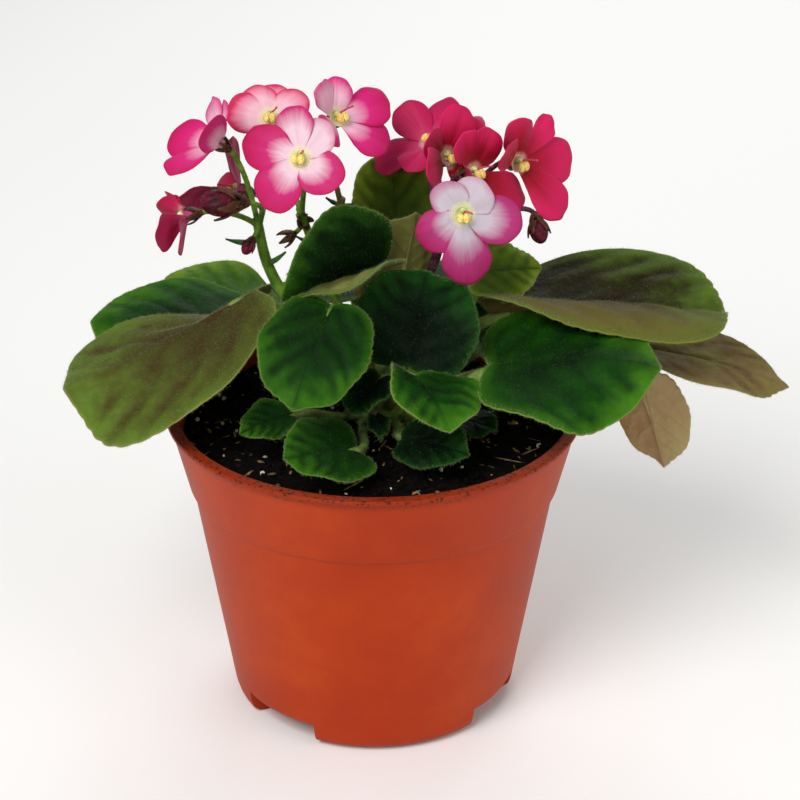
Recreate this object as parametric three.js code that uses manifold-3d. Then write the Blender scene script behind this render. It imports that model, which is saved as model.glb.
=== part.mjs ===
// Potted African violet: a nursery pot on three low feet, filled with potting mix, and a plant whose
// leaves and flower stalks grow from one short stem. Millimetres, +Z up, -Y is the front.
import * as THREE from "three";
import { mergeVertices } from "three/addons/utils/BufferGeometryUtils.js";
import Module from "manifold-3d";

const wasm = await Module();
wasm.setup();

// ---- Driving dimensions -------------------------------------------------------------------------

const GAP = 0.35; // clearance wherever two pieces would touch
const POT_HEIGHT = 92.5;
const LIP_RADIUS = 60;
const LIP_THICKNESS = 1.4;
const LIP_WIDTH = 3.4;
const WALL_THICKNESS = 1.3;
const COLLAR_TOP_RADIUS = 59;
const COLLAR_FOOT_RADIUS = 53.9;
const COLLAR_FOOT_HEIGHT = 69.3;
const WALL_TOP_RADIUS = 52.8;
const WALL_FOOT_RADIUS = 42.2;
const EDGE_HEIGHT = 4.4; // of the rounded bottom edge
const FLOOR_HEIGHT = 7.4; // underside of the floor, and the top of the notches between the feet
const FOOT_INNER_RADIUS = 33;
const FOOT_FLAT_RADIUS = 37;
const NOTCH_MIDDLES_DEGREES = [-41.5, 61, 190]; // between the feet, from the front towards +X
const NOTCH_SPAN_DEGREES = 35;
const DRAIN_RADIUS = 3.5;
const DRAIN_CIRCLE_RADIUS = 24;
const DRAIN_COUNT = 6;
const POT_SIDES = 32;

const SOIL_HEIGHT = 85.5;
const SOIL_ROUGHNESS = 1.3;
const CROWN_RADIUS = 8;
const CROWN_TOP = 106;
const CROWN_DEPTH = 12; // how far the stem goes down into the soil
const CROWN_CENTRE = [2, 2];

const BLADE_THICKNESS = 0.9;
const PETAL_THICKNESS = 0.7;
const PETIOLE_RADIUS = 1.7;
const LEAF_SPOKES = 14;
const LEAF_RINGS = [0.42, 0.76, 1];

// ---- Materials ----------------------------------------------------------------------------------

function finish(color, roughness) {
  return new THREE.MeshStandardMaterial({ color, roughness, metalness: 0 });
}

const terracottaPlastic = finish(0xa63a20, 0.42);
const pottingMix = finish(0x1d1512, 0.95);
const stemGreen = finish(0x5f7d33, 0.6);
const stalkPurple = finish(0x4a2b35, 0.6);
const antherYellow = finish(0xf0d060, 0.55);
const budRed = finish(0x6d1030, 0.6);

// ---- Small tools --------------------------------------------------------------------------------

const vec = (p) => new THREE.Vector3(...p);
const radians = THREE.MathUtils.degToRad;

// A closed geometry as a solid, read from its positions alone.
function solidOf(geometry) {
  const bare = new THREE.BufferGeometry();
  bare.setAttribute("position", geometry.getAttribute("position"));
  bare.setIndex(geometry.index);
  const merged = mergeVertices(bare, 1e-4);
  return new wasm.Manifold(
    new wasm.Mesh({
      numProp: 3,
      vertProperties: new Float32Array(merged.attributes.position.array),
      triVerts: new Uint32Array(merged.index.array),
    }),
  );
}

function geometryOf(solid) {
  const mesh = solid.getMesh();
  const geometry = new THREE.BufferGeometry();
  const positions = new Float32Array(mesh.numVert * 3);
  for (let i = 0; i < mesh.numVert; i++) {
    positions.set(mesh.vertProperties.subarray(i * mesh.numProp, i * mesh.numProp + 3), i * 3);
  }
  geometry.setAttribute("position", new THREE.BufferAttribute(positions, 3));
  geometry.setIndex(new THREE.BufferAttribute(new Uint32Array(mesh.triVerts), 1));
  geometry.computeVertexNormals();
  return geometry;
}

function union(solids) {
  return solids.reduce((whole, next) => whole.add(next));
}

// A thin solid with the sheet in its middle: the points move half a thickness out along their
// normals on both faces, which share one triangulation, and the open edge is closed by a rim.
function thicken(points, faces, thickness) {
  const normals = points.map(() => new THREE.Vector3());
  const edge1 = new THREE.Vector3();
  const edge2 = new THREE.Vector3();
  const directed = new Set(faces.flatMap(([a, b, c]) => [`${a},${b}`, `${b},${c}`, `${c},${a}`]));
  for (const [a, b, c] of faces) {
    edge1.subVectors(points[b], points[a]);
    edge2.subVectors(points[c], points[a]);
    const normal = edge1.clone().cross(edge2);
    for (const i of [a, b, c]) normals[i].add(normal);
  }
  normals.forEach((normal) => normal.normalize());
  const half = thickness / 2;
  const count = points.length;
  const upper = points.map((p, i) => p.clone().addScaledVector(normals[i], half));
  const lower = points.map((p, i) => p.clone().addScaledVector(normals[i], -half));
  const index = faces.flatMap(([a, b, c]) => [a, b, c, a + count, c + count, b + count]);
  for (const key of directed) {
    const [a, b] = key.split(",").map(Number);
    if (!directed.has(`${b},${a}`)) index.push(b, a, a + count, b, a + count, b + count);
  }
  const geometry = new THREE.BufferGeometry().setFromPoints([...upper, ...lower]);
  return geometry.setIndex(index);
}

// A round bar along a curve.
function barAlong(curve, radius, sides, steps) {
  const section = new THREE.Shape();
  for (let i = 0; i < sides; i++) {
    const angle = (2 * Math.PI * i) / sides;
    const corner = [radius * Math.cos(angle), radius * Math.sin(angle)];
    if (i === 0) section.moveTo(...corner);
    else section.lineTo(...corner);
  }
  section.closePath();
  return new THREE.ExtrudeGeometry(section, { steps, extrudePath: curve, bevelEnabled: false });
}

// ---- Pot ----------------------------------------------------------------------------------------

// The upper flat ring of the lip, the collar under it, the step in to the wall, the wall, and a foot
// ring with a rounded outer edge. Radius, height pairs up the outside and down the inside.
function potProfile() {
  const edgeWidth = WALL_FOOT_RADIUS - FOOT_FLAT_RADIUS;
  const roundedEdge = [-90, -60, -30, 0].map((degrees) => [
    FOOT_FLAT_RADIUS + edgeWidth * Math.cos(radians(degrees)),
    EDGE_HEIGHT + EDGE_HEIGHT * Math.sin(radians(degrees)),
  ]);
  const outside = [
    [0, FLOOR_HEIGHT],
    [FOOT_INNER_RADIUS - 1, FLOOR_HEIGHT],
    [FOOT_INNER_RADIUS, 0],
    ...roundedEdge,
    [WALL_TOP_RADIUS, COLLAR_FOOT_HEIGHT],
    [COLLAR_FOOT_RADIUS, COLLAR_FOOT_HEIGHT + 1],
    [COLLAR_TOP_RADIUS, POT_HEIGHT - LIP_THICKNESS],
    [LIP_RADIUS, POT_HEIGHT - LIP_THICKNESS],
    [LIP_RADIUS, POT_HEIGHT],
  ];
  const inside = [
    [LIP_RADIUS - LIP_WIDTH, POT_HEIGHT],
    [COLLAR_FOOT_RADIUS - WALL_THICKNESS, COLLAR_FOOT_HEIGHT + 1.6],
    [WALL_TOP_RADIUS - WALL_THICKNESS, COLLAR_FOOT_HEIGHT],
    [WALL_FOOT_RADIUS - WALL_THICKNESS, FLOOR_HEIGHT + WALL_THICKNESS],
    [0, FLOOR_HEIGHT + WALL_THICKNESS],
  ];
  return [...outside, ...inside];
}

function makePot() {
  const profile = potProfile().map(([r, z]) => new THREE.Vector2(r, z));
  const lathe = new THREE.LatheGeometry(profile, POT_SIDES).rotateX(Math.PI / 2);
  let pot = solidOf(lathe);
  for (const middle of NOTCH_MIDDLES_DEGREES) {
    pot = pot.subtract(solidOf(notchBetweenFeet().rotateZ(radians(middle - 90))));
  }
  for (let i = 0; i < DRAIN_COUNT; i++) {
    const drill = new THREE.CylinderGeometry(DRAIN_RADIUS, DRAIN_RADIUS, 4 * WALL_THICKNESS, 12);
    drill.rotateX(Math.PI / 2).translate(DRAIN_CIRCLE_RADIUS, 0, FLOOR_HEIGHT);
    pot = pot.subtract(solidOf(drill.rotateZ(radians((360 * i) / DRAIN_COUNT))));
  }
  return pot;
}

// A wedge of the foot ring, open at the bottom, that leaves the floor and the wall above it whole.
function notchBetweenFeet() {
  const half = radians(NOTCH_SPAN_DEGREES) / 2;
  const sector = new THREE.Shape();
  sector.absarc(0, 0, LIP_RADIUS, -half, half, false);
  sector.absarc(0, 0, FOOT_INNER_RADIUS - 4, half, -half, true);
  const below = 1;
  const settings = { depth: FLOOR_HEIGHT + below, bevelEnabled: false, curveSegments: 6 };
  return new THREE.ExtrudeGeometry(sector, settings).translate(0, 0, -below);
}

// ---- Soil and stem ------------------------------------------------------------------------------

// The inner wall's shape less a gap all round, closed on top by an uneven surface that rises a
// little towards the stem, with a plain hole where the stem stands.
function makeSoil() {
  const wallInset = WALL_THICKNESS + GAP;
  const collarRise = (SOIL_HEIGHT - COLLAR_FOOT_HEIGHT - 1) / (POT_HEIGHT - COLLAR_FOOT_HEIGHT - 1);
  const lipInner = LIP_RADIUS - LIP_WIDTH;
  const collarInner = COLLAR_FOOT_RADIUS - WALL_THICKNESS;
  const soilRadius = collarInner + (lipInner - collarInner) * collarRise - 2 * GAP;
  const profile = [
    [0, FLOOR_HEIGHT + wallInset],
    [WALL_FOOT_RADIUS - wallInset - GAP, FLOOR_HEIGHT + wallInset],
    [WALL_TOP_RADIUS - wallInset - GAP, COLLAR_FOOT_HEIGHT - GAP],
    [collarInner - 2 * GAP, COLLAR_FOOT_HEIGHT + 2],
    [soilRadius, SOIL_HEIGHT],
    [soilRadius * 0.86, SOIL_HEIGHT],
    [soilRadius * 0.66, SOIL_HEIGHT],
    [soilRadius * 0.44, SOIL_HEIGHT],
    [soilRadius * 0.2, SOIL_HEIGHT],
    [0, SOIL_HEIGHT],
  ].map(([r, z]) => new THREE.Vector2(r, z));
  const body = new THREE.LatheGeometry(profile, 26).rotateX(Math.PI / 2);
  const place = body.getAttribute("position");
  for (let i = 0; i < place.count; i++) {
    const r = Math.hypot(place.getX(i), place.getY(i));
    if (place.getZ(i) < SOIL_HEIGHT - 1e-3 || r > soilRadius - 1e-3) continue;
    const bumps = Math.sin(place.getX(i) * 0.31 + 1) * Math.cos(place.getY(i) * 0.37 + 2);
    const mound = 1.5 * (1 - r / soilRadius);
    place.setZ(i, SOIL_HEIGHT + mound + SOIL_ROUGHNESS * bumps);
  }
  const hole = new THREE.CylinderGeometry(CROWN_RADIUS + GAP, CROWN_RADIUS + GAP, 30, 14);
  hole.rotateX(Math.PI / 2).translate(...CROWN_CENTRE, SOIL_HEIGHT - CROWN_DEPTH - GAP + 15);
  return solidOf(body).subtract(solidOf(hole));
}

function makeCrown() {
  const profile = [
    [0, SOIL_HEIGHT - CROWN_DEPTH],
    [CROWN_RADIUS - 1.5, SOIL_HEIGHT - CROWN_DEPTH],
    [CROWN_RADIUS, SOIL_HEIGHT - 2],
    [CROWN_RADIUS, SOIL_HEIGHT + 8],
    [CROWN_RADIUS - 0.5, CROWN_TOP - 2],
    [CROWN_RADIUS - 2, CROWN_TOP],
    [0, CROWN_TOP],
  ].map(([r, z]) => new THREE.Vector2(r, z));
  const stem = new THREE.LatheGeometry(profile, 14).rotateX(Math.PI / 2);
  return solidOf(stem.translate(...CROWN_CENTRE, 0));
}

// ---- Leaves -------------------------------------------------------------------------------------

// Each leaf: where the blade meets its petiole, where its tip is, its full width, how much fuller it
// is towards the tip (skew) and beside it (blunt), how far the midrib arches (degrees, + droops at the
// tip), its roll about the midrib (+ raises the left half), how far each half rises from flat at the
// base and at the tip (degrees, + makes a V), how it curls across (radians per mm, + turns up), and
// the direction and height where the petiole leaves the stem, its radius, how steeply it rises there
// and how far it first leans out.
const leaves = {
  leaf_01: {
    base: [-33, -8.1, 131.9], tip: [-85.9, -20.1, 106.1], width: 56, skew: 0.15, blunt: 0.2,
    arch: -10, roll: -14, left: [-4, -19], right: [-53, -20], curl: [0.008, 0.004],
    from: [-168, 95.5], rise: 0.4, hue: 0x5c6b33,
  },
  leaf_02: {
    base: [-36.4, 12.8, 109.1], tip: [-82.5, 17.4, 109.6], width: 48, skew: -0.1, blunt: 0.1,
    arch: 35, roll: 7, left: [-15, -32], right: [16, 12],
    from: [168, 95.5], rise: 0.25, hue: 0x3d7a22,
  },
  leaf_03: {
    base: [-31.2, 30.8, 108.3], tip: [-63.5, 48.8, 110.3], width: 34, blunt: 0.08,
    arch: 27, roll: -7, left: [9, 1], right: [-16, 5],
    from: [146, 95.5], rise: 0.3, hue: 0x5f8a2a,
  },
  leaf_04: {
    base: [2.3, -0.4, 134.4], tip: [-25.6, -13.4, 129.7], width: 50, skew: 0.01, blunt: -0.2,
    arch: 21, roll: -9, left: [40, 27], right: [95, 83],
    from: [-75, 101.5], out: 0.1, rise: 1, hue: 0x2d5c20,
  },
  leaf_05: {
    base: [-11, -21.3, 132.9], tip: [-21.4, -45.3, 112.2], width: 34, skew: -0.11,
    arch: 34, roll: -3, left: [-17, -23], right: [-2, 18],
    from: [-128, 95.5], rise: 0.9, hue: 0x2c6a22,
  },
  leaf_06: {
    base: [9.8, -15, 111.5], tip: [14.5, -9.3, 137.8], width: 39, skew: -0.21, blunt: 0.12,
    arch: -7, roll: 24, left: [3, 20], right: [13, 1],
    from: [-45, 101.5], rise: 0.1, hue: 0x16381c,
  },
  leaf_07: {
    base: [32, -20.2, 113.5], tip: [78.9, -25.1, 116.1], width: 51, skew: -0.16, blunt: -0.06,
    arch: 28, roll: 9, left: [6, 0], right: [0, -34],
    from: [-32, 95.5], rise: 0.3, hue: 0x2e7a22,
  },
  leaf_08: {
    base: [11.7, -27.3, 114], tip: [20.9, -44.2, 105.7], width: 33, skew: 0,
    arch: 27, roll: 0, left: [-6, 3], right: [36, 18],
    from: [-72, 95.5], petiole: 1.4, rise: 0.6, hue: 0x4c8f2a,
  },
  leaf_09: {
    base: [33.1, 4, 119.8], tip: [100.8, 9.2, 116], width: 51, skew: 0.21, blunt: 0.13,
    arch: 10, roll: 6, left: [5, 24], right: [68, 47], curl: [-0.01, -0.061],
    from: [8, 101.5], rise: 0.5, hue: 0x4f5a2a,
  },
  leaf_10: {
    base: [75.8, 12.7, 104.2], tip: [119.2, 1.1, 96.4], width: 34, skew: -0.11,
    arch: 24, roll: 3, left: [10, 3], right: [13, -2],
    from: [2, 95.5], rise: 0.2, hue: 0x6a6a3a,
  },
  leaf_11: {
    base: [76.8, 5.8, 97.9], tip: [86.1, 8.4, 67.5], width: 27,
    arch: 11, roll: -50, left: [5, 10], right: [4, 10],
    from: [-14, 89.5], petiole: 1.5, rise: 0.3, hue: 0x8a7a60,
  },
  leaf_12: {
    base: [27.6, 8.3, 129.5], tip: [48, 12.5, 129.6], width: 24, skew: -0.11, blunt: -0.08,
    arch: 9, roll: 36, left: [19, 1], right: [1, -2],
    from: [38, 101.5], rise: 0.8, hue: 0x4a7a2c,
  },
  leaf_13: {
    base: [9, 23, 129], tip: [4, 33.5, 159], width: 34, arch: -10, roll: 0,
    left: [12, 8], right: [12, 8], from: [72, 101.5], rise: 0.9, hue: 0x35602a,
  },
  leaf_14: {
    base: [6, 6, 126], tip: [12, 8, 148], width: 30, arch: -10, roll: -75,
    left: [12, 12], right: [12, 12], from: [-112, 101.5], out: 0, rise: 1, hue: 0x6b7a45,
  },
  leaf_15: {
    base: [2, -21, 111], tip: [-6, -31, 104], width: 18, arch: 10, roll: 0,
    left: [10, 10], right: [10, 10], from: [-98, 95], petiole: 1.1, rise: 0.2, hue: 0x1c4a1e,
  },
  leaf_16: {
    base: [-4.6, -33.5, 94.6], tip: [-24.4, -45.6, 97.6], width: 28, skew: -0.22, blunt: -0.06,
    arch: 25, roll: -32, left: [16, 15], right: [-3, -6],
    from: [-114, 89.5], petiole: 1.2, rise: 0.2, hue: 0x3d8a2a,
  },
  leaf_17: {
    base: [8.1, -28.5, 95.9], tip: [25.9, -38.6, 95.8], width: 21,
    arch: 23, roll: 38, left: [-6, 7], right: [5, 14],
    from: [-66, 89.5], petiole: 1.2, rise: 0.2, hue: 0x24552a,
  },
  leaf_18: {
    base: [-23, -20, 99], tip: [-37, -28, 97], width: 16, arch: 20, roll: -30,
    left: [10, 5], right: [10, 5], from: [-150, 89.5], petiole: 1.1, rise: 0.2, hue: 0x2c6a2a,
  },
  leaf_19: {
    base: [1, -21, 99], tip: [2, -30, 96], width: 9, arch: 20, roll: 0,
    left: [10, 5], right: [10, 5], from: [-88, 92.4], petiole: 0.9, rise: 0.1, hue: 0x1c4a22,
  },
  leaf_20: {
    base: [22, -14, 95], tip: [34, -24, 95], width: 16, arch: 20, roll: 8,
    left: [5, 5], right: [5, 0], from: [-42, 89.5], petiole: 1.2, rise: 0.1, hue: 0x1c4a22,
  },
  leaf_21: {
    base: [-28, 34, 103], tip: [-58, 60, 96], width: 40, arch: 35, roll: 0,
    left: [8, 5], right: [8, 5], from: [120, 89.5], rise: 0.3, hue: 0x3d7a26,
  },
  leaf_22: {
    base: [-5, 40, 107], tip: [-10, 80, 99], width: 42, arch: 35, roll: 0,
    left: [12, 5], right: [12, 5], from: [88, 89.5], rise: 0.4, hue: 0x4c7a2a,
  },
  leaf_23: {
    base: [22, 36, 110], tip: [38, 74, 103], width: 42, arch: 30, roll: 0,
    left: [12, 5], right: [12, 5], from: [56, 89.5], rise: 0.3, hue: 0x3d7226,
  },
  leaf_24: {
    base: [29, 18, 101.8], tip: [70, 46, 97.5], width: 44, arch: 30, roll: 0,
    left: [12, 5], right: [12, 5], from: [26, 89.5], rise: 0.25, hue: 0x46702a,
  },
  leaf_25: {
    base: [0, 26, 116], tip: [2, 52, 120], width: 32, arch: 25, roll: 0,
    left: [20, 10], right: [20, 10], from: [105, 101.5], rise: 0.4, hue: 0x2f6a26,
  },
};

// The outline in polar form about the blade's middle, 0 degrees at the tip: an ellipse, fuller
// towards the base, with a notch where the petiole meets it, a slight point and a scalloped edge.
const NOTCH_DEPTH = 0.3;
const NOTCH_WIDTH = 0.42;
const POINT_HEIGHT = 0.02;
const POINT_WIDTH = 0.3;
const SCALLOPS = 8;
const SCALLOP_DEPTH = 0.025;
const WAVE_HEIGHT = 0.8; // of the margin, mm
const GROOVE = 2; // half the width over which the two halves round into each other, mm
const SETTLED = 0.7;

function outline(angle, skew, blunt) {
  const fromTip = Math.abs(angle);
  const notch = NOTCH_DEPTH * Math.exp(-(((Math.PI - fromTip) / NOTCH_WIDTH) ** 2));
  const point = POINT_HEIGHT * Math.exp(-((fromTip / POINT_WIDTH) ** 2));
  const shoulders = fromTip < Math.PI / 2 ? 1 + blunt * Math.sin(2 * angle) ** 2 : 1;
  const fuller = (1 + skew * Math.cos(angle)) * shoulders;
  return (1 - notch + point) * fuller * (1 + SCALLOP_DEPTH * Math.cos(SCALLOPS * angle));
}

// A half's rise at a share of the midrib's length: it is that of the tip from SETTLED on.
function settled(pair, share) {
  return THREE.MathUtils.lerp(...pair, THREE.MathUtils.smoothstep(share, 0, SETTLED));
}

// The midrib is an arc from base to tip, and the two halves rise from it at their own angles.
class Blade {
  constructor(row) {
    const base = vec(row.base);
    const chord = vec(row.tip).sub(base);
    const along = chord.clone().normalize();
    const up = new THREE.Vector3(0, 0, 1).addScaledVector(along, -along.z).normalize();
    up.applyAxisAngle(along, radians(row.roll));
    this.base = base;
    this.along = along;
    this.up = up;
    this.side = up.clone().cross(along);
    this.bend = radians(row.arch);
    this.length = (chord.length() * this.bend) / 2 / Math.sin(this.bend / 2);
    this.skew = row.skew ?? -0.06;
    this.blunt = row.blunt ?? 0;
    this.behind = outline(Math.PI, this.skew, this.blunt);
    this.halfLength = this.length / (this.behind + outline(0, this.skew, this.blunt));
    this.halfWidth = row.width / 2;
    this.row = row;
  }

  // The point of the midrib at a length from the base, with the directions along and out of it.
  rib(length) {
    const start = this.bend / 2;
    const turn = this.bend / this.length;
    const angle = start - turn * length;
    const forward = (Math.sin(start) - Math.sin(angle)) / turn;
    const rise = (Math.cos(angle) - Math.cos(start)) / turn;
    const centre = this.base.clone().addScaledVector(this.along, forward).addScaledVector(this.up, rise);
    const [cos, sin] = [Math.cos(angle), Math.sin(angle)];
    const tangent = this.along.clone().multiplyScalar(cos).addScaledVector(this.up, sin);
    const normal = this.up.clone().multiplyScalar(cos).addScaledVector(this.along, -sin);
    return { centre, tangent, normal };
  }

  point(ring, angle) {
    const reach = ring * outline(angle, this.skew, this.blunt);
    const length = this.halfLength * (reach * Math.cos(angle) + this.behind);
    const across = this.halfWidth * reach * Math.sin(angle);
    const { centre, normal } = this.rib(length);
    const half = across >= 0 ? this.row.left : this.row.right;
    const lift = radians(settled(half, length / this.length));
    const away = Math.hypot(across, GROOVE) - GROOVE;
    const turn = (this.row.curl ?? [0, 0])[across >= 0 ? 0 : 1] + 1e-6;
    const sideways = (Math.sin(lift + turn * away) - Math.sin(lift)) / turn;
    const upward = (Math.cos(lift) - Math.cos(lift + turn * away)) / turn;
    const wave = WAVE_HEIGHT * ring ** 3 * Math.sin(5 * angle + this.halfLength);
    return centre
      .addScaledVector(this.side, Math.sign(across) * sideways)
      .addScaledVector(normal, upward + wave);
  }
}

function bladeSolid(blade) {
  const points = [blade.point(0, 0)];
  const faces = [];
  LEAF_RINGS.forEach((ring, level) => {
    for (let i = 0; i < LEAF_SPOKES; i++) {
      const next = (i + 1) % LEAF_SPOKES;
      const angle = (2 * Math.PI * i) / LEAF_SPOKES;
      points.push(blade.point(ring, angle > Math.PI ? angle - 2 * Math.PI : angle));
      const outer = 1 + level * LEAF_SPOKES;
      const inner = outer - LEAF_SPOKES;
      if (level === 0) {
        faces.push([0, outer + next, outer + i]);
      } else {
        faces.push([inner + i, inner + next, outer + i], [inner + next, outer + next, outer + i]);
      }
    }
  });
  return solidOf(thicken(points, faces, BLADE_THICKNESS));
}

// The petiole leaves the stem at its own place, rises, and runs in under the midrib.
function petioleSolid(blade) {
  const row = blade.row;
  const radius = row.petiole ?? PETIOLE_RADIUS;
  const [cx, cy] = CROWN_CENTRE;
  const bearing = radians(row.from[0]);
  const height = row.from[1];
  const outward = new THREE.Vector3(Math.cos(bearing), Math.sin(bearing), 0);
  const out = row.out ?? 1;
  const standoff = CROWN_RADIUS + GAP + (radius * row.rise) / Math.hypot(out, row.rise) + 0.1;
  const start = new THREE.Vector3(cx, cy, height).addScaledVector(outward, standoff);
  const joint = blade.rib(blade.length * 0.12);
  const end = joint.centre.addScaledVector(joint.normal, 0.15 - radius);
  const pull = start.distanceTo(end) * 0.4;
  const lean = outward.clone().multiplyScalar(out).add(new THREE.Vector3(0, 0, row.rise));
  const leave = start.clone().addScaledVector(lean, pull);
  const arrive = end.clone().addScaledVector(joint.tangent, -pull);
  const curve = new THREE.CubicBezierCurve3(start, leave, arrive, end);
  return solidOf(barAlong(curve, radius, 6, 5));
}

function makeLeaf(row) {
  const blade = new Blade(row);
  return bladeSolid(blade).add(petioleSolid(blade));
}

// ---- Blooms -------------------------------------------------------------------------------------

// Each bloom: its throat, the compass bearing it faces (0 front, + towards +X), its elevation, and its
// two upper, two side and one lower petal: the turn from the bloom's own top, the rise out of the
// plane across its axis (degrees), the reach from the axis and the half width.
const blooms = {
  bloom_01: {
    at: [-43.4, 4, 171], facing: [-72, 40], hue: 0xd92f78,
    petals: [
      [-48, 40, 12.8, 4.4], [-30, 30, 11.5, 4.4], [-124, 42, 16, 6.4],
      [72, 66, 12.5, 5.6], [174, 45, 16.2, 6.2],
    ],
  },
  bloom_02: {
    at: [-29.3, 22, 171.3], facing: [0, 38], hue: 0xe8a0bc,
    petals: [
      [-34, 8, 10.8, 5.6], [12, 5, 10.5, 6], [-76, 10, 12.5, 6],
      [62, 20, 12, 5.5], [180, 5, 13, 6.2],
    ],
  },
  bloom_03: {
    at: [-19.8, -10, 170.9], facing: [-14, 30], hue: 0xd0508c,
    petals: [
      [-18, 12, 14.5, 5.4], [30, 10, 12.2, 5.6], [-78, 12, 16.5, 6.6],
      [120, 15, 13.2, 6.4], [-146, 8, 16.2, 6.8],
    ],
  },
  bloom_04: {
    at: [-10.1, 7, 176.4], facing: [40, 34], hue: 0xd92f78,
    petals: [
      [-46, 60, 15.5, 4.2], [20, 30, 11.2, 4.4], [88, 22, 17.5, 6],
      [134, 22, 16.8, 6.3], [-116, 50, 14.2, 5],
    ],
  },
  bloom_05: {
    at: [-52.5, -1, 150.4], facing: [-80, -12], hue: 0xb82058,
    petals: [
      [-62, 35, 10.5, 4.4], [-66, 25, 8, 4.4], [-82, 62, 10.5, 5],
      [104, 32, 14, 5], [82, 50, 18.2, 5.4],
    ],
  },
  bloom_06: {
    at: [16.3, 24, 163.2], facing: [-35, 62], hue: 0xc42566,
    petals: [
      [-64, 45, 14.8, 5.8], [-2, 35, 14.5, 6], [-124, 5, 17, 6],
      [48, 20, 15.8, 6], [-178, 25, 13.2, 4.6],
    ],
  },
  bloom_07: {
    at: [20.4, 9, 164.1], facing: [46, 24], hue: 0xb0123c,
    petals: [
      [-52, 40, 13, 5.2], [34, 35, 14.8, 6], [-94, 45, 17, 5.6],
      [76, 25, 16.8, 6], [138, 25, 11.5, 5.6],
    ],
  },
  bloom_08: {
    at: [27.3, 0.5, 162.8], facing: [46, 18], hue: 0xa01030,
    petals: [
      [-22, 40, 14, 5.2], [42, 30, 13.2, 5.4], [-100, 60, 9.5, 4.4],
      [128, 22, 19.8, 6.2], [140, 15, 15, 5],
    ],
  },
  bloom_09: {
    at: [40, 9, 162.5], facing: [42, 8], hue: 0xb0123c,
    petals: [
      [-8, 35, 14.2, 5.6], [54, 20, 16.5, 3.6], [-58, 50, 15.5, 5],
      [100, 25, 19.5, 6.8], [146, 38, 20.2, 6.4],
    ],
  },
  bloom_10: {
    at: [24, -16, 157.1], facing: [2, 12], hue: 0xc86aa6,
    petals: [
      [-40, 15, 10.5, 5.2], [32, 12, 10.5, 6.2], [-126, 8, 14, 6.2],
      [102, 8, 16.2, 6.8], [174, 2, 20.2, 7],
    ],
  },
  bloom_11: {
    at: [-39, 24, 148.9], facing: [-97, 12], hue: 0xc84a7a,
    petals: [
      [0, 38, 15.5, 5.2], [-62, 48, 16, 5.4], [-118, 50, 14, 5.2],
      [100, 70, 20.8, 5.2], [102, 58, 16.8, 4.8],
    ],
  },
};

const PETAL_ROOT = 2.2; // how far from the bloom's axis a petal starts, and where it bends up
const PETAL_DROOP = 0.016; // per mm of reach, how fast the cup flattens
const PETAL_RIPPLE = 0.5; // of the margin
const PETAL_SPREAD_LIMIT = radians(38); // on each side of a petal's own middle
const TUBE_LENGTH = 3.6;
const TUBE_RADIUS = 1.4;
const THROAT_RADIUS = 3;

// The frame of a bloom or bud: z points the way it faces and y is its top.
function bloomFrame(row) {
  const [bearing, elevation] = row.facing.map(radians);
  const level = Math.cos(elevation);
  const [east, south] = [Math.sin(bearing), Math.cos(bearing)];
  const facing = new THREE.Vector3(level * east, -level * south, Math.sin(elevation));
  const right = new THREE.Vector3(0, 0, 1).cross(facing).normalize();
  const top = facing.clone().cross(right);
  const size = row.size ?? 1;
  const turned = new THREE.Matrix4().makeBasis(right, top, facing);
  const sized = turned.scale(new THREE.Vector3(size, size, size));
  return new THREE.Matrix4().makeTranslation(...row.at).multiply(sized);
}

// A petal is a fan from its root to a round end, as wide as the lines that touch that end's circle.
function petalGeometry([turn, rise, reach, half]) {
  const across = 3;
  const steps = 2;
  const middle = reach - half;
  const spread = Math.min(PETAL_SPREAD_LIMIT, Math.asin(Math.min(1, half / middle)));
  const points = [];
  const faces = [];
  for (let j = 0; j <= steps; j++) {
    for (let i = 0; i <= across; i++) {
      const angle = spread * ((2 * i) / across - 1);
      const arc = Math.sqrt(Math.max(0, half ** 2 - (middle * Math.sin(angle)) ** 2));
      const edge = middle * Math.cos(angle) + arc;
      const out = PETAL_ROOT + ((edge - PETAL_ROOT) * j) / steps;
      const ripple = (PETAL_RIPPLE * Math.sin(6 * angle) * j) / steps;
      const height = ripple - PETAL_DROOP * out * out;
      points.push(new THREE.Vector3(out * Math.sin(angle), out * Math.cos(angle) - PETAL_ROOT, height));
      if (i === across || j === steps) continue;
      const corner = j * (across + 1) + i;
      const above = corner + across + 1;
      faces.push([corner, above + 1, corner + 1], [corner, above, above + 1]);
    }
  }
  const petal = thicken(points, faces, PETAL_THICKNESS).rotateX(radians(rise));
  return petal.translate(0, PETAL_ROOT, 0).rotateZ(-radians(turn));
}

function makeBloom(row) {
  const tube = new THREE.CylinderGeometry(THROAT_RADIUS, TUBE_RADIUS, TUBE_LENGTH, 6);
  tube.rotateX(Math.PI / 2).translate(0, 0, 0.9 - TUBE_LENGTH / 2);
  const lobes = row.petals.map(petalGeometry);
  return union([tube, ...lobes].map((g) => solidOf(g.applyMatrix4(bloomFrame(row)))));
}

// Two plump anthers side by side and the pistil that leans out past them.
function makeAnthers(row) {
  const lobes = [-1, 1].map((side) => {
    const lobe = new THREE.SphereGeometry(1, 4, 3).scale(0.95, 1.35, 1.1);
    return lobe.translate(0.75 * side, -0.3, 2.5);
  });
  const pistil = new THREE.ConeGeometry(0.6, 5, 4).rotateX(Math.PI / 2).translate(0, 0, 4);
  return union([...lobes, pistil].map((g) => solidOf(g.applyMatrix4(bloomFrame(row)))));
}

// ---- Flower stalks ------------------------------------------------------------------------------

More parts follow.
